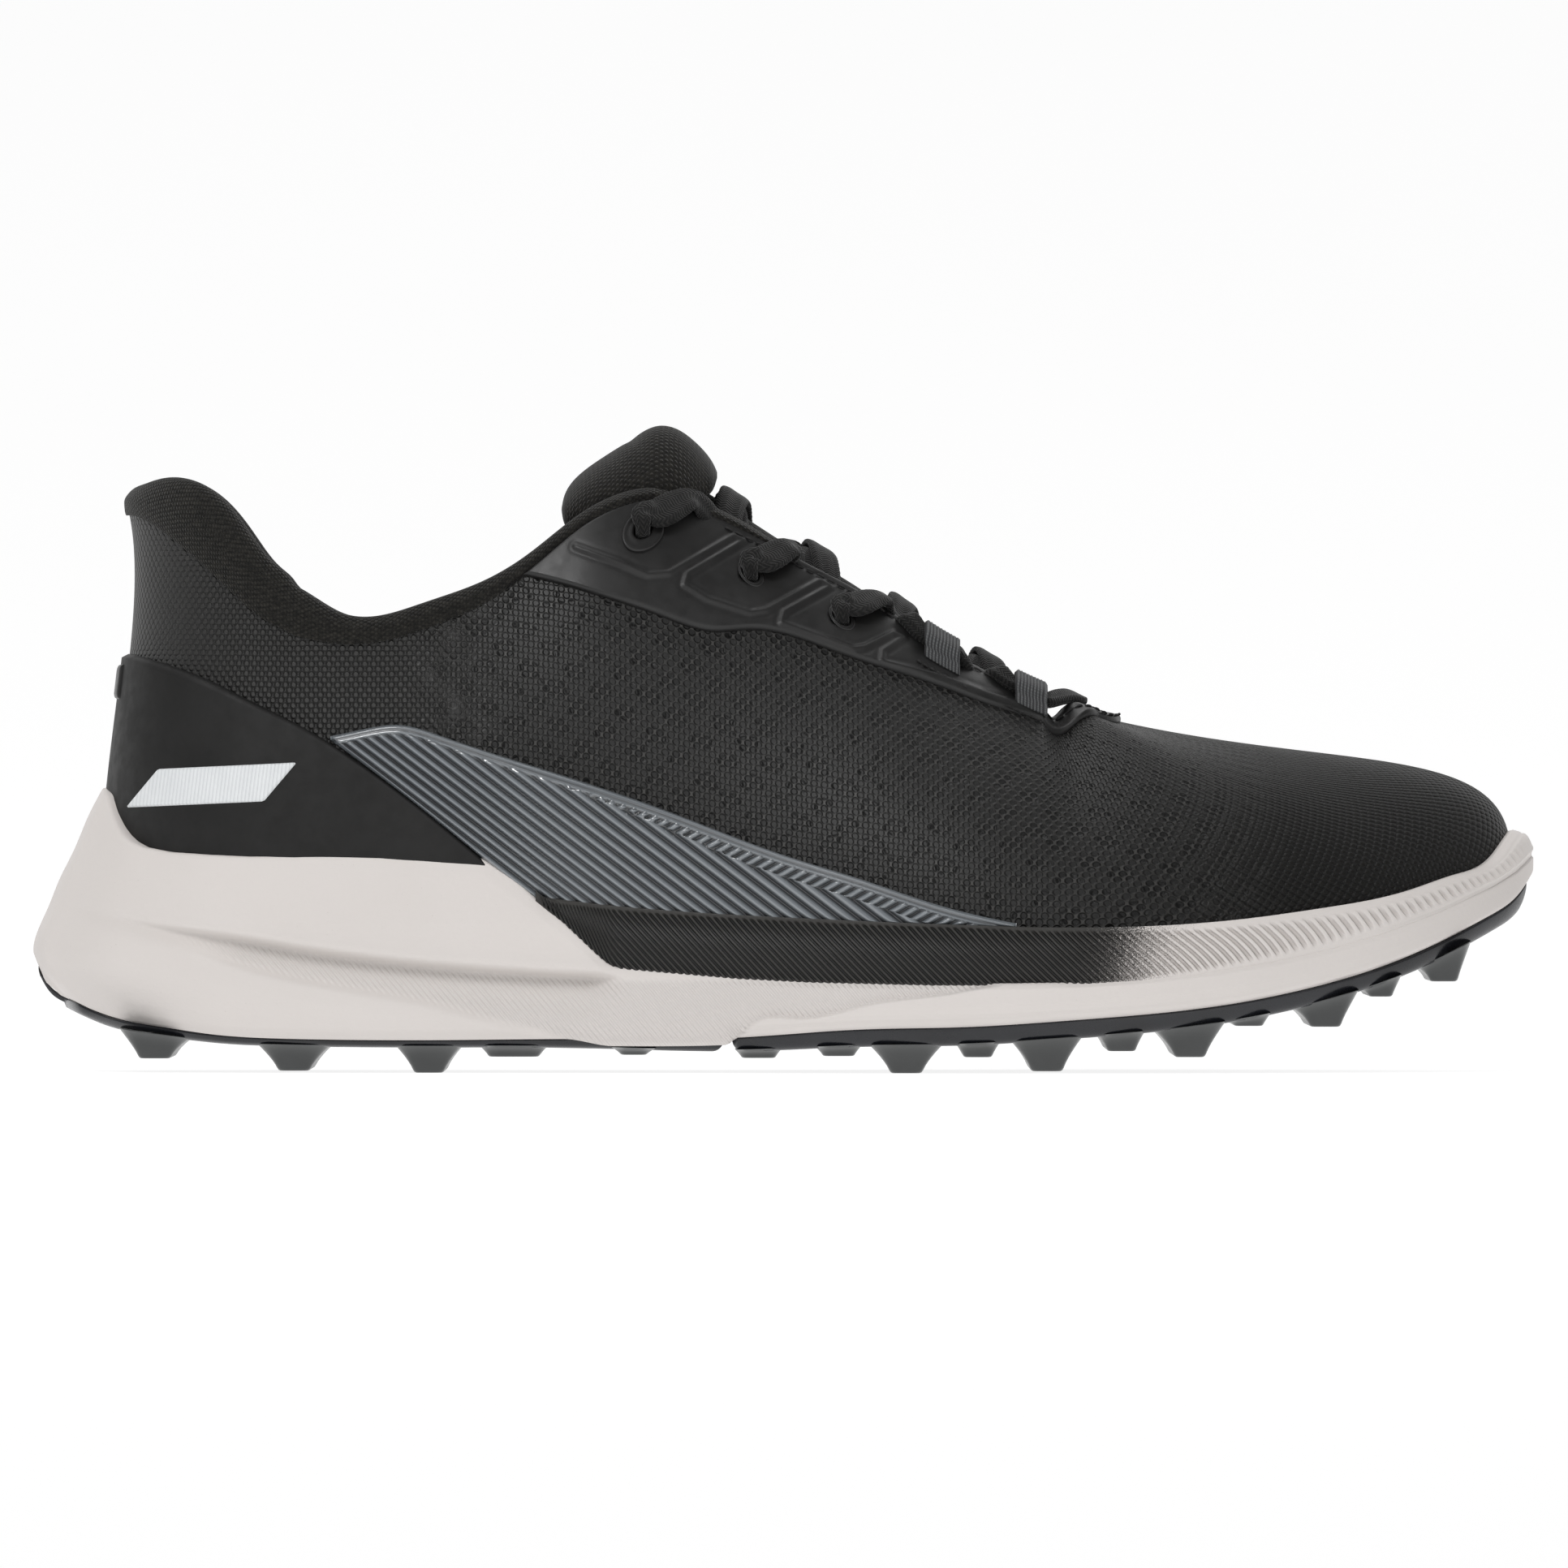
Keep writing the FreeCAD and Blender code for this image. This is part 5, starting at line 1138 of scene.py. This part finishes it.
def collar():
    w = walk(-station(0), station(0), 0.9, 1.0)[:, None]
    u = side_station(w)[1]
    re, ze, rise, thick, deep = EDGE_R(u), EDGE_Z(u), RISE(u), THICK(u), DEEP(u)
    clear = SHELL + 0.4
    v_deep = v_where(w, lambda _x: ze - deep)
    r_deep = rib_rz(w, v_deep)[0] - clear
    v_half = v_where(w, lambda _x: ze - deep * 0.45)
    r_half = rib_rz(w, v_half)[0] - clear
    front = smooth(station(-44), station(-30), u)
    lap = 0.4 + 1.25 * front
    keys = [
        (re + lap, ze - 1.2), (re + lap + 0.4, ze + 0.1 * rise), (re + lap + 0.2, ze + 0.5 * rise),
        (re - 0.16 * thick + 0.4 * lap, ze + 0.93 * rise), (re - 0.45 * thick, ze + 1.02 * rise),
        (re - 0.76 * thick, ze + 0.84 * rise), (re - thick, ze + 0.2 * rise),
        (np.minimum(re - thick, r_half - 2), ze - 0.45 * deep), (r_deep - 1.8, ze - 0.85 * deep),
        (r_deep - 0.6, ze - deep), (r_deep, ze - 0.94 * deep), (r_half, ze - 0.45 * deep),
        (re - clear, ze - 2.0), (re - clear + 1.2, ze - 0.4),
    ]
    sections = np.stack([np.concatenate(np.broadcast_arrays(*k), 1) for k in keys], 1)
    ring_points = closed_curve(sections, 72)
    r, z = ring_points[..., 0], ring_points[..., 1]
    s = lengths(in_plane(w, re, ze)[:, 0], 0)[:, None]
    ripple = 0.10 * np.sin(s / 5.1 + 1.3 * np.sin(s / 17)) * smooth(0, 3, z - ze + 2)
    points = in_plane(w, r, z + ripple)
    around = lengths(np.concatenate([points, points[:, :1]], 1), 1)[:, :-1]
    uv = np.stack(np.broadcast_arrays(s, around), -1)
    return tube("collar_roll", points, "knit", "shoe", uv)


roll = collar()
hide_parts("collar_foam")


def lining(name, w, low, high, depth, node):
    v = low[:, None] + (high - low)[:, None] * np.linspace(0, 1, 40)
    w = w[:, None]
    points = np.concatenate([last(w, v, -depth), last(w, v[:, ::-1], -depth - LINING)], 1)
    uv = np.stack([lengths(points, 0), lengths(points, 1)], -1)
    piece = tube(name, points, "lining", "shoe", uv)
    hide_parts(node)


w = walk(-station(-41), station(-41), 2.0)
u = side_station(w)[1]
lining("heel_lining", w, np.full_like(w, 0.03), v_where(w, lambda _x: EDGE_Z(u) - 9.5), 3.6, "collar_lining")
w = walk(station(-39), 6 - station(-39), 2.0)
lining("forefoot_lining", w, np.full_like(w, 0.03), np.full_like(w, 0.8), SHELL + 1.75, "vamp_lining")

# ---- tongue -----------------------------------------------------------------------------------
TONGUE_CROWN = Spline([
    (-18.0, 118.2), (-10.7, 113.4), (5.6, 103.0), (14.8, 97.5), (25.0, 90.4), (33.0, 85.3), (40.0, 81.1),
    (48.4, 76.4), (56.0, 72.3),
])
TONGUE_DEPTH = SHELL + 3.7


def tongue_arc(x, lift=0.0):
    """Points across the tongue at each x, from the outer side to the inner side."""
    x = np.atleast_1d(np.asarray(x, float))
    halves = []
    for side in (-1, 1):
        w = on_side(side, station(x))
        points = [last(w, v, -TONGUE_DEPTH) for v in (0.9, 0.94, 0.985)]
        edge, crown = points[-1], TONGUE_CROWN(x)
        for share in (0.35, 0.7):
            z = edge[:, 2] + (crown - edge[:, 2]) * math.sin(math.pi / 2 * share)
            points.append(np.stack([x, edge[:, 1] * (1 - share), z], -1))
        halves.append(points)
    top = halves[0] + [np.stack([x, 0 * x, TONGUE_CROWN(x)], -1)] + halves[1][::-1]
    top = np.stack(top, 1)
    padded_top = np.concatenate([top[:, :1], top, top[:, -1:]], 1)
    run = unit((padded_top[:, 2:] - padded_top[:, :-2]) * np.array([0, 1, 1]))
    return top + lift * np.stack([0 * run[..., 0], -run[..., 2], run[..., 1]], -1)


x = np.linspace(-17, 50.5, 90)
face = tongue_arc(x)
under = tongue_arc(x, -4.6)[:, ::-1]
tongue = loft("tongue_cushion", np.concatenate([face, under], 1), LOOKS["pad"], "tongue", 120)
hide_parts("tongue_face", "tongue_foam", "tongue_lining")

# x, height of the cap's top, height of its underside, half width, drop of its sides
CAP = [
    (-44.6, 113.6, 112.6, 12.0, 0.2), (-44.2, 115.6, 110.6, 15.4, 1.2), (-43.0, 118.0, 109.2, 17.4, 2.4),
    (-40.5, 120.6, 109.4, 18.6, 3.4), (-36.3, 123.6, 110.6, 19.0, 4.6), (-32.0, 126.4, 112.2, 18.6, 5.6),
    (-28.2, 128.8, 113.4, 18.0, 6.6), (-25.2, 129.9, 114.4, 17.4, 7.2), (-21.8, 129.4, 115.6, 16.8, 7.4),
    (-18.4, 127.2, 117.0, 16.0, 6.6), (-15.6, 124.4, 118.2, 14.6, 4.6), (-14.0, 122.0, 118.9, 12.6, 2.4),
    (-13.4, 120.6, 119.6, 9.0, 0.4),
]


def tongue_cap():
    """The stuffed top of the tongue: a fat pillow with a seam round its lower edge."""
    rows = np.array(CAP)
    s = lengths(rows[:, :2], 0)
    t = np.linspace(0, s[-1], 90)
    x, top, bottom, half, drop = (Spline(list(zip(s, rows[:, k])))(t)[:, None] for k in range(5))
    angle = np.linspace(0, 2 * math.pi, 96, endpoint=False)[None, :]
    c, q = np.cos(angle), np.sin(angle)
    power = 2 / 2.7
    a, b = np.sign(c) * abs(c) ** power, np.sign(q) * abs(q) ** power
    y = half * a
    middle = (top + bottom) / 2 - drop * abs(a) ** 2.2
    z = middle + (top - bottom) / 2 * b
    pinch = np.exp(-((b + 0.15) / 0.12) ** 2)
    y = y * (1 - 0.02 * pinch)
    crease = 0.35 * np.exp(-(((x + 31.0) + 0.25 * y) / 1.6) ** 2) * np.clip(b, 0, 1)
    points = np.stack(np.broadcast_arrays(x, y, z - crease), -1)
    around = lengths(np.concatenate([points, points[:, :1]], 1), 1)[:, :-1]
    uv = np.stack(np.broadcast_arrays(t[:, None], around), -1)
    return tube("tongue_cap", points, "pad", "tongue", uv)


cap = tongue_cap()
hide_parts("tongue_pad")

# ---- sockliner --------------------------------------------------------------------------------
SOCK_INSET = SHELL + 1.2 + LINING + 2.2
U_ALL = np.concatenate([np.linspace(0, 1, 200), np.linspace(1, 3, 500)[1:]])


def bed_rows(side):
    base = (BASE_OUTER if side < 0 else BASE_INNER)(U_ALL)
    return in_plane(on_side(side, U_ALL), base - SOCK_INSET, 0)


def bed_height(x):
    toe_u = np.linspace(2, 3, 200)
    found = []
    for side, base in ((-1, BASE_OUTER), (1, BASE_INNER)):
        row_x = in_plane(on_side(side, toe_u), base(toe_u), 0)[:, 0]
        found.append(np.interp(x, row_x, BASE_Z(toe_u)))
    return np.where(x <= TOE_X, BASE_Z(station(np.maximum(x, HEEL_X))), np.minimum(*found))


def sockliner():
    left_row, right_row = bed_rows(-1), bed_rows(1)
    first, end = left_row[0, 0] + 0.4, left_row[-1, 0] - 0.4
    x = first + (end - first) * (1 - np.cos(np.linspace(0, math.pi, 160))) / 2
    left = np.interp(x, left_row[:, 0], left_row[:, 1])
    right = np.interp(x, right_row[:, 0], right_row[:, 1])
    x, left, right = x[:, None], left[:, None], right[:, None]
    a = np.sin(np.linspace(-math.pi / 2, math.pi / 2, 45))[None, :]
    y = (left + right) / 2 + a * (right - left) / 2
    base = bed_height(x)
    edge = np.minimum(np.minimum(y - left, right - y), np.minimum(x - first, end - x))
    top = base + 1.8 + 5.2 * rounded(edge, 1.4) + 1.0 * abs(a) ** 3
    low = base + 1.5 + 0 * a
    points = np.concatenate([np.stack(np.broadcast_arrays(x, y, top), -1),
                             np.stack(np.broadcast_arrays(x, y[:, ::-1], low), -1)], 1)
    piece = tube("sockliner_pad", points, "sock", "sockliner", points[..., :2])
    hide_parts("sockliner_cloth", "sockliner_foam")


sockliner()

# ---- lace -------------------------------------------------------------------------------------
LACE_CLEAR, TONGUE_CLEAR = 0.35, 0.5
HOLE_BUNCH, LOOP_BUNCH, TURN_WIDTH = 3.0, 4.2, 4.6
CROSSING_STEPS = ((0.2, 0.95, 5.6), (0.35, 1.0, 6.2), (0.5, 1.0, 6.4), (0.65, 1.0, 6.2), (0.8, 0.9, 5.6))
CROSSING_RISE = 1.7
ON_FILM = GLUE + FILM + LACE_CLEAR + LACE_THICK / 2
UNDER_SHELL = -(SHELL + LACE_CLEAR + LACE_THICK / 2)


def spot(side, x, v, out=0.0):
    return last(np.array(on_side(side, station(x))), v, out)


def facing(side, x, v):
    return unit(spot(side, x, v, 1.0) - spot(side, x, v))


def rib_up(side, x, v):
    return unit(spot(side, x, min(v + 0.02, 1)) - spot(side, x, v - 0.02))


def tongue_height(x, y):
    arc = tongue_arc(x)[0]
    return float(np.interp(y, arc[:, 1], arc[:, 2]))


def tongue_normal(x, y):
    along = np.array([4, 0, tongue_height(x + 2, y) - tongue_height(x - 2, y)])
    across = np.array([0, 4, tongue_height(x, y + 2) - tongue_height(x, y - 2)])
    return unit(np.cross(along, across))


def hole_turn(side, row, extra):
    v = float(hole_place(side, row)[1])
    n, t, p = facing(side, row, v), rib_up(side, row, v), spot(side, row, v)
    above, under = p + n * (ON_FILM + extra), p + n * UNDER_SHELL
    return [(above + t * 2.8, n, 5.0), (above, n - t * 0.6, HOLE_BUNCH),
            (p + n * 0.6 - t * 0.4, -t, HOLE_BUNCH), (p - n - t * 0.4, -t, HOLE_BUNCH),
            (under, -0.6 * t - n, HOLE_BUNCH), (under + t * 2.8, -n, 5.0)]


def outer_run(side, x0, v0, x1):
    made = []
    for share, width in ((0.3, 7.2), (0.6, 7.4), (1.0, 6.0)):
        x, v = x0 + (x1 - x0) * share, v0 + (0.99 - v0) * share
        made.append((spot(side, x, v, ON_FILM + 0.5), facing(side, x, v), width))
    return made


def crossing(upper, xs, start, end):
    made = []
    for share, lift, width in CROSSING_STEPS:
        x, y = xs[0] + (xs[1] - xs[0]) * share, start[1] + (end[1] - start[1]) * share
        n = tongue_normal(x, y)
        rise = TONGUE_CLEAR + LACE_THICK / 2 + (CROSSING_RISE * lift if upper else 0)
        made.append((np.array([x, y, tongue_height(x, y)]) + n * rise, n, width))
    return made


def half_lace(side):
    rows = list(LACE_HOLES) + list(LOOP_ROWS)
    route = [(spot(side, rows[0], 0.96, UNDER_SHELL), -facing(side, rows[0], 0.96), 7.0)]
    here = side
    for i, row in enumerate(rows):
        if i < 3:
            route += hole_turn(here, row, RING + 0.1 if i == 0 else 0.0)[::-1]
            route += outer_run(here, row, float(hole_place(here, row)[1]), row + (10.5 if i == 0 else 8.5))
        else:
            route += [(spot(here, row + dx, 0.95, ON_FILM), facing(here, row + dx, 0.95), LOOP_BUNCH)
                      for dx in (-4.2, 0.0, 4.2)]
        if i == len(rows) - 1:
            break
        start = route[-1][0]
        if i < 2:
            end_x = rows[i + 1] - 2.5
            end = (spot(-here, end_x, 0.955, UNDER_SHELL - 0.15), -facing(-here, end_x, 0.96), TURN_WIDTH)
        else:
            end_x = rows[i + 1] - 7.0
            end = (spot(-here, end_x, 0.975, ON_FILM + 0.3), facing(-here, end_x, 0.975), TURN_WIDTH)
        begin_x = -14.0 if i == 0 else start[0]
        upper = (here if i % 2 == 0 else -here) < 0
        route += crossing(upper, (begin_x, end_x), start, end[0])
        route.append(end)
        here = -here
    route.append((np.array([TOE_X + 4.4, here * 6.4, 75.6]), np.array([0.3, here * 0.4, 1]), LOOP_BUNCH))
    return route


def lace():
    """One flat tubular lace along its whole route, gathered where it turns and goes through holes."""
    middle = [(np.array([TOE_X + 7.2, 0, 74.8]), np.array([0.3, 0, 1.0]), LOOP_BUNCH)]
    route = half_lace(-1) + middle + half_lace(1)[::-1]
    points = np.array([p for p, _, _ in route])
    normals, before = [], None
    for _, n, _ in route:
        n = unit(np.asarray(n, float))
        n = -n if before is not None and n @ before < 0 else n
        normals.append(n)
        before = n
    widths = np.array([width for _, _, width in route])[:, None]
    data = open_curve(np.concatenate([points, np.array(normals), widths], 1), 12)
    kernel = np.exp(-np.linspace(-1.6, 1.6, 11) ** 2)
    kernel /= kernel.sum()
    padded_data = np.concatenate([np.repeat(data[:1], 5, 0), data, np.repeat(data[-1:], 5, 0)])
    data = np.stack([np.convolve(padded_data[:, k], kernel, "valid") for k in range(7)], 1)
    p, n, width = data[:, :3], data[:, 3:6], data[:, 6]
    s = lengths(p, 0)
    count = int(s[-1] / 0.42)
    t = np.linspace(0, s[-1], count)
    p, n = (np.stack([np.interp(t, s, a[:, k]) for k in range(3)], 1) for a in (p, n))
    width = np.interp(t, s, width)
    along = unit(np.gradient(p, axis=0))
    across = unit(np.cross(n, along))
    up = np.cross(along, across)
    gather = smooth(6.4, 3.4, width)
    thick = LACE_THICK * (1 + 0.75 * gather)
    angle = np.linspace(0, 2 * math.pi, 36, endpoint=False)
    c, q = np.cos(angle), np.sin(angle)
    flat_x, flat_z = np.sign(c) * abs(c) ** 0.75, np.sign(q) * abs(q) ** 0.85
    hollow = 1 - 0.16 * np.exp(-(c / 0.35) ** 2)
    folds = 1 + 0.16 * gather[:, None] * np.sin(5 * angle + 0.8)
    y = (width / 2)[:, None] * flat_x * (1 + 0.02 * np.sin(t * 4.6)[:, None])
    z = (thick / 2)[:, None] * flat_z * hollow * folds
    points = p[:, None] + across[:, None] * y[..., None] + up[:, None] * z[..., None]
    side_of = np.where(q >= 0, 1, -1) * (1 - c) / 2
    uv = np.stack(np.broadcast_arrays(t[:, None], 4.4 + 4.2 * side_of[None, :]), -1)
    piece = tube("lace_braid", points, "lace", "shoe", uv)
    print(f"lace length {s[-1]:.0f} mm")
    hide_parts("lace")


lace()

LOOP_WIDTH, LOOP_THICK = 7.0, 0.9


def webbing_loop(side, row, name):
    """A grey tape over the lace and the throat's edge, its lower end sewn into a slot."""
    over = ON_FILM + LACE_THICK / 2 + 0.7
    dx = np.linspace(-LOOP_WIDTH / 2, LOOP_WIDTH / 2, 29)
    path = [(0.88, 0.9), (0.892, GLUE + FILM + 0.3), (0.905, GLUE + FILM + 1.0), (0.922, over),
            (0.955, over + 0.25), (0.985, over - 0.1)]
    rows = []
    for d in dx:
        x = row + d
        edge, t, n = spot(side, x, 1.0), rib_up(side, x, 1.0), facing(side, x, 1.0)
        line = [spot(side, x, v, h) for v, h in path]
        line += [edge + t * 0.9 + n * 1.2, edge + t * 0.9 - n * (SHELL + 0.4),
                 spot(side, x, 0.95, -(SHELL + 0.6))]
        rows.append(open_curve(np.array(line), 7))
    under = np.array(rows)
    step_i, step_j = np.gradient(under, axis=0), np.gradient(under, axis=1)
    n = unit(np.cross(step_i, step_j))
    n = n * np.sign(np.sum(n[14, 20] * facing(side, row, 0.93)))
    cords = 0.10 * np.sin(dx * 9.5)[:, None]
    border = rounded((LOOP_WIDTH / 2 - abs(dx))[:, None], 0.35)
    top = under + n * (LOOP_THICK * (0.35 + 0.65 * border) + cords * border)[..., None]
    points = np.concatenate([top, under[:, ::-1]], 1)
    length = lengths(under, 1)
    uv = np.stack(np.broadcast_arrays(dx[:, None] * 1.0, length), -1)
    uv = np.concatenate([uv, uv[:, ::-1]], 1)
    return tube(name, points, "webbing", "shoe", uv)


for side, name in SIDES:
    for row, place in zip(LOOP_ROWS, ("rear", "front")):
        tape = webbing_loop(side, row, f"webbing_{name}_{place}")
        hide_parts(f"lace_loop_{name}_{place}")


def stitches(name, points, normals, pitch, length, radius):
    """Single stitches along a line: short fat beads of thread, each end pulled into the film."""
    s = lengths(points, 0)
    middles = np.arange(pitch / 2, s[-1], pitch)
    angle = np.linspace(0, 2 * math.pi, 8, endpoint=False)
    share = np.linspace(-1, 1, 7)
    verts, faces = [], []
    for m in middles:
        t = m + share * length / 2
        p = np.stack([np.interp(t, s, points[:, k]) for k in range(3)], 1)
        n = unit(np.array([np.interp(m, s, normals[:, k]) for k in range(3)]))
        along = unit(p[-1] - p[0])
        across = np.cross(n, along)
        size = radius * np.sqrt(np.clip(1 - share**4, 0.02, 1))
        p = p + n * (radius * 0.7 * (1 - share**2))[:, None]
        ring_points = p[:, None] + size[:, None, None] * (
            np.cos(angle)[None, :, None] * across + np.sin(angle)[None, :, None] * n)
        start = len(verts)
        verts += ring_points.reshape(-1, 3).tolist()
        faces += stacked_rings(start, len(share), len(angle))
    from_faces(name, verts, faces, "thread", "shoe")


w = walk(station(-12), 6 - station(-12), 0.5, 0.98)
stitches("throat_stitches", last(w, 0.953, GLUE + FILM), normal(w, 0.953), 2.3, 1.9, 0.26)
for side, name in SIDES:
    for row, place in zip(LOOP_ROWS, ("rear", "front")):
        w = np.array(on_side(side, station(np.linspace(row - 5.2, row + 5.2, 12))))
        stitches(f"slot_stitches_{name}_{place}", last(w, 0.838, GLUE + FILM), normal(w, 0.838),
                 1.5, 1.3, 0.3)

for node, look in (("heel_counter", "stiffener"), ("toe_puff", "stiffener"), ("strobel_board", "board")):
    target = frame["nodes"][node]
    target.data.materials.clear()
    target.data.materials.append(LOOKS[look])

# ---- floor, light and camera --------------------------------------------------------------------
VIEW_WIDTH, VIEW_X, VIEW_Z = 0.3156, 0.00008, 0.0578
CAMERA_AWAY = 6.0


def floor():
    """A pale floor that curves up into a backdrop, far enough behind for a camera to stand before it."""
    line = [(-18.4, 0.0), (4.6, 0.0)]
    start, bend, half_width, wall_top = 4.6, 3.45, 20.7, 13.8
    turn = np.linspace(0, math.pi / 2, 24)[1:]
    line += [(start + bend * math.sin(a), bend - bend * math.cos(a)) for a in turn]
    line += [(start + bend, wall_top)]
    points = np.array([[(x, y, z) for y, z in line] for x in (-half_width, half_width)]) / MM
    look = Look("floor_paint", 0.85)
    look.set("Base Color", look.mix(look.noise(look.place(), 3.0), (0.2, 0.2, 0.2), (0.22, 0.22, 0.22)))
    look.set("Emission Color", (1.0, 1.0, 1.0))
    look.set("Emission Strength", 0.86)
    piece = make("floor", points, look.mat, "shoe")
    piece.parent = None
    del piece["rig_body"]
    return piece


floor()
bpy.context.scene.view_settings.view_transform = "Standard"
world = bpy.data.worlds.new("studio")
bpy.context.scene.world = world
world.use_nodes = True
world.node_tree.nodes["Background"].inputs["Color"].default_value = (1, 1, 1, 1)
world.node_tree.nodes["Background"].inputs["Strength"].default_value = 0.24


def lamp(name, place, target, size, power, size_y=None):
    data = bpy.data.lights.new(name, "AREA")
    data.shape = "RECTANGLE"
    data.size, data.size_y, data.energy = size, size_y or size, power
    thing = bpy.data.objects.new(name, data)
    thing.location = place
    thing.rotation_euler = (Vector(target) - Vector(place)).to_track_quat("-Z", "Y").to_euler()
    bpy.context.collection.objects.link(thing)


lamp("key", (-0.55, -1.25, 1.35), (0, 0, 0.05), 0.5, 15)
lamp("top", (-0.2, 0.3, 1.5), (0, 0, 0.05), 1.0, 6)
lamp("front", (0.7, -1.6, 0.35), (0, 0, 0.05), 1.0, 3.5)

data = bpy.data.cameras.new("camera")
data.sensor_width = 36
data.lens = 36 * CAMERA_AWAY / VIEW_WIDTH
data.clip_end = 50
camera = bpy.data.objects.new("camera", data)
camera.location = (VIEW_X, -CAMERA_AWAY, VIEW_Z)
camera.rotation_euler = (math.pi / 2, 0, 0)
bpy.context.collection.objects.link(camera)
bpy.context.scene.camera = camera
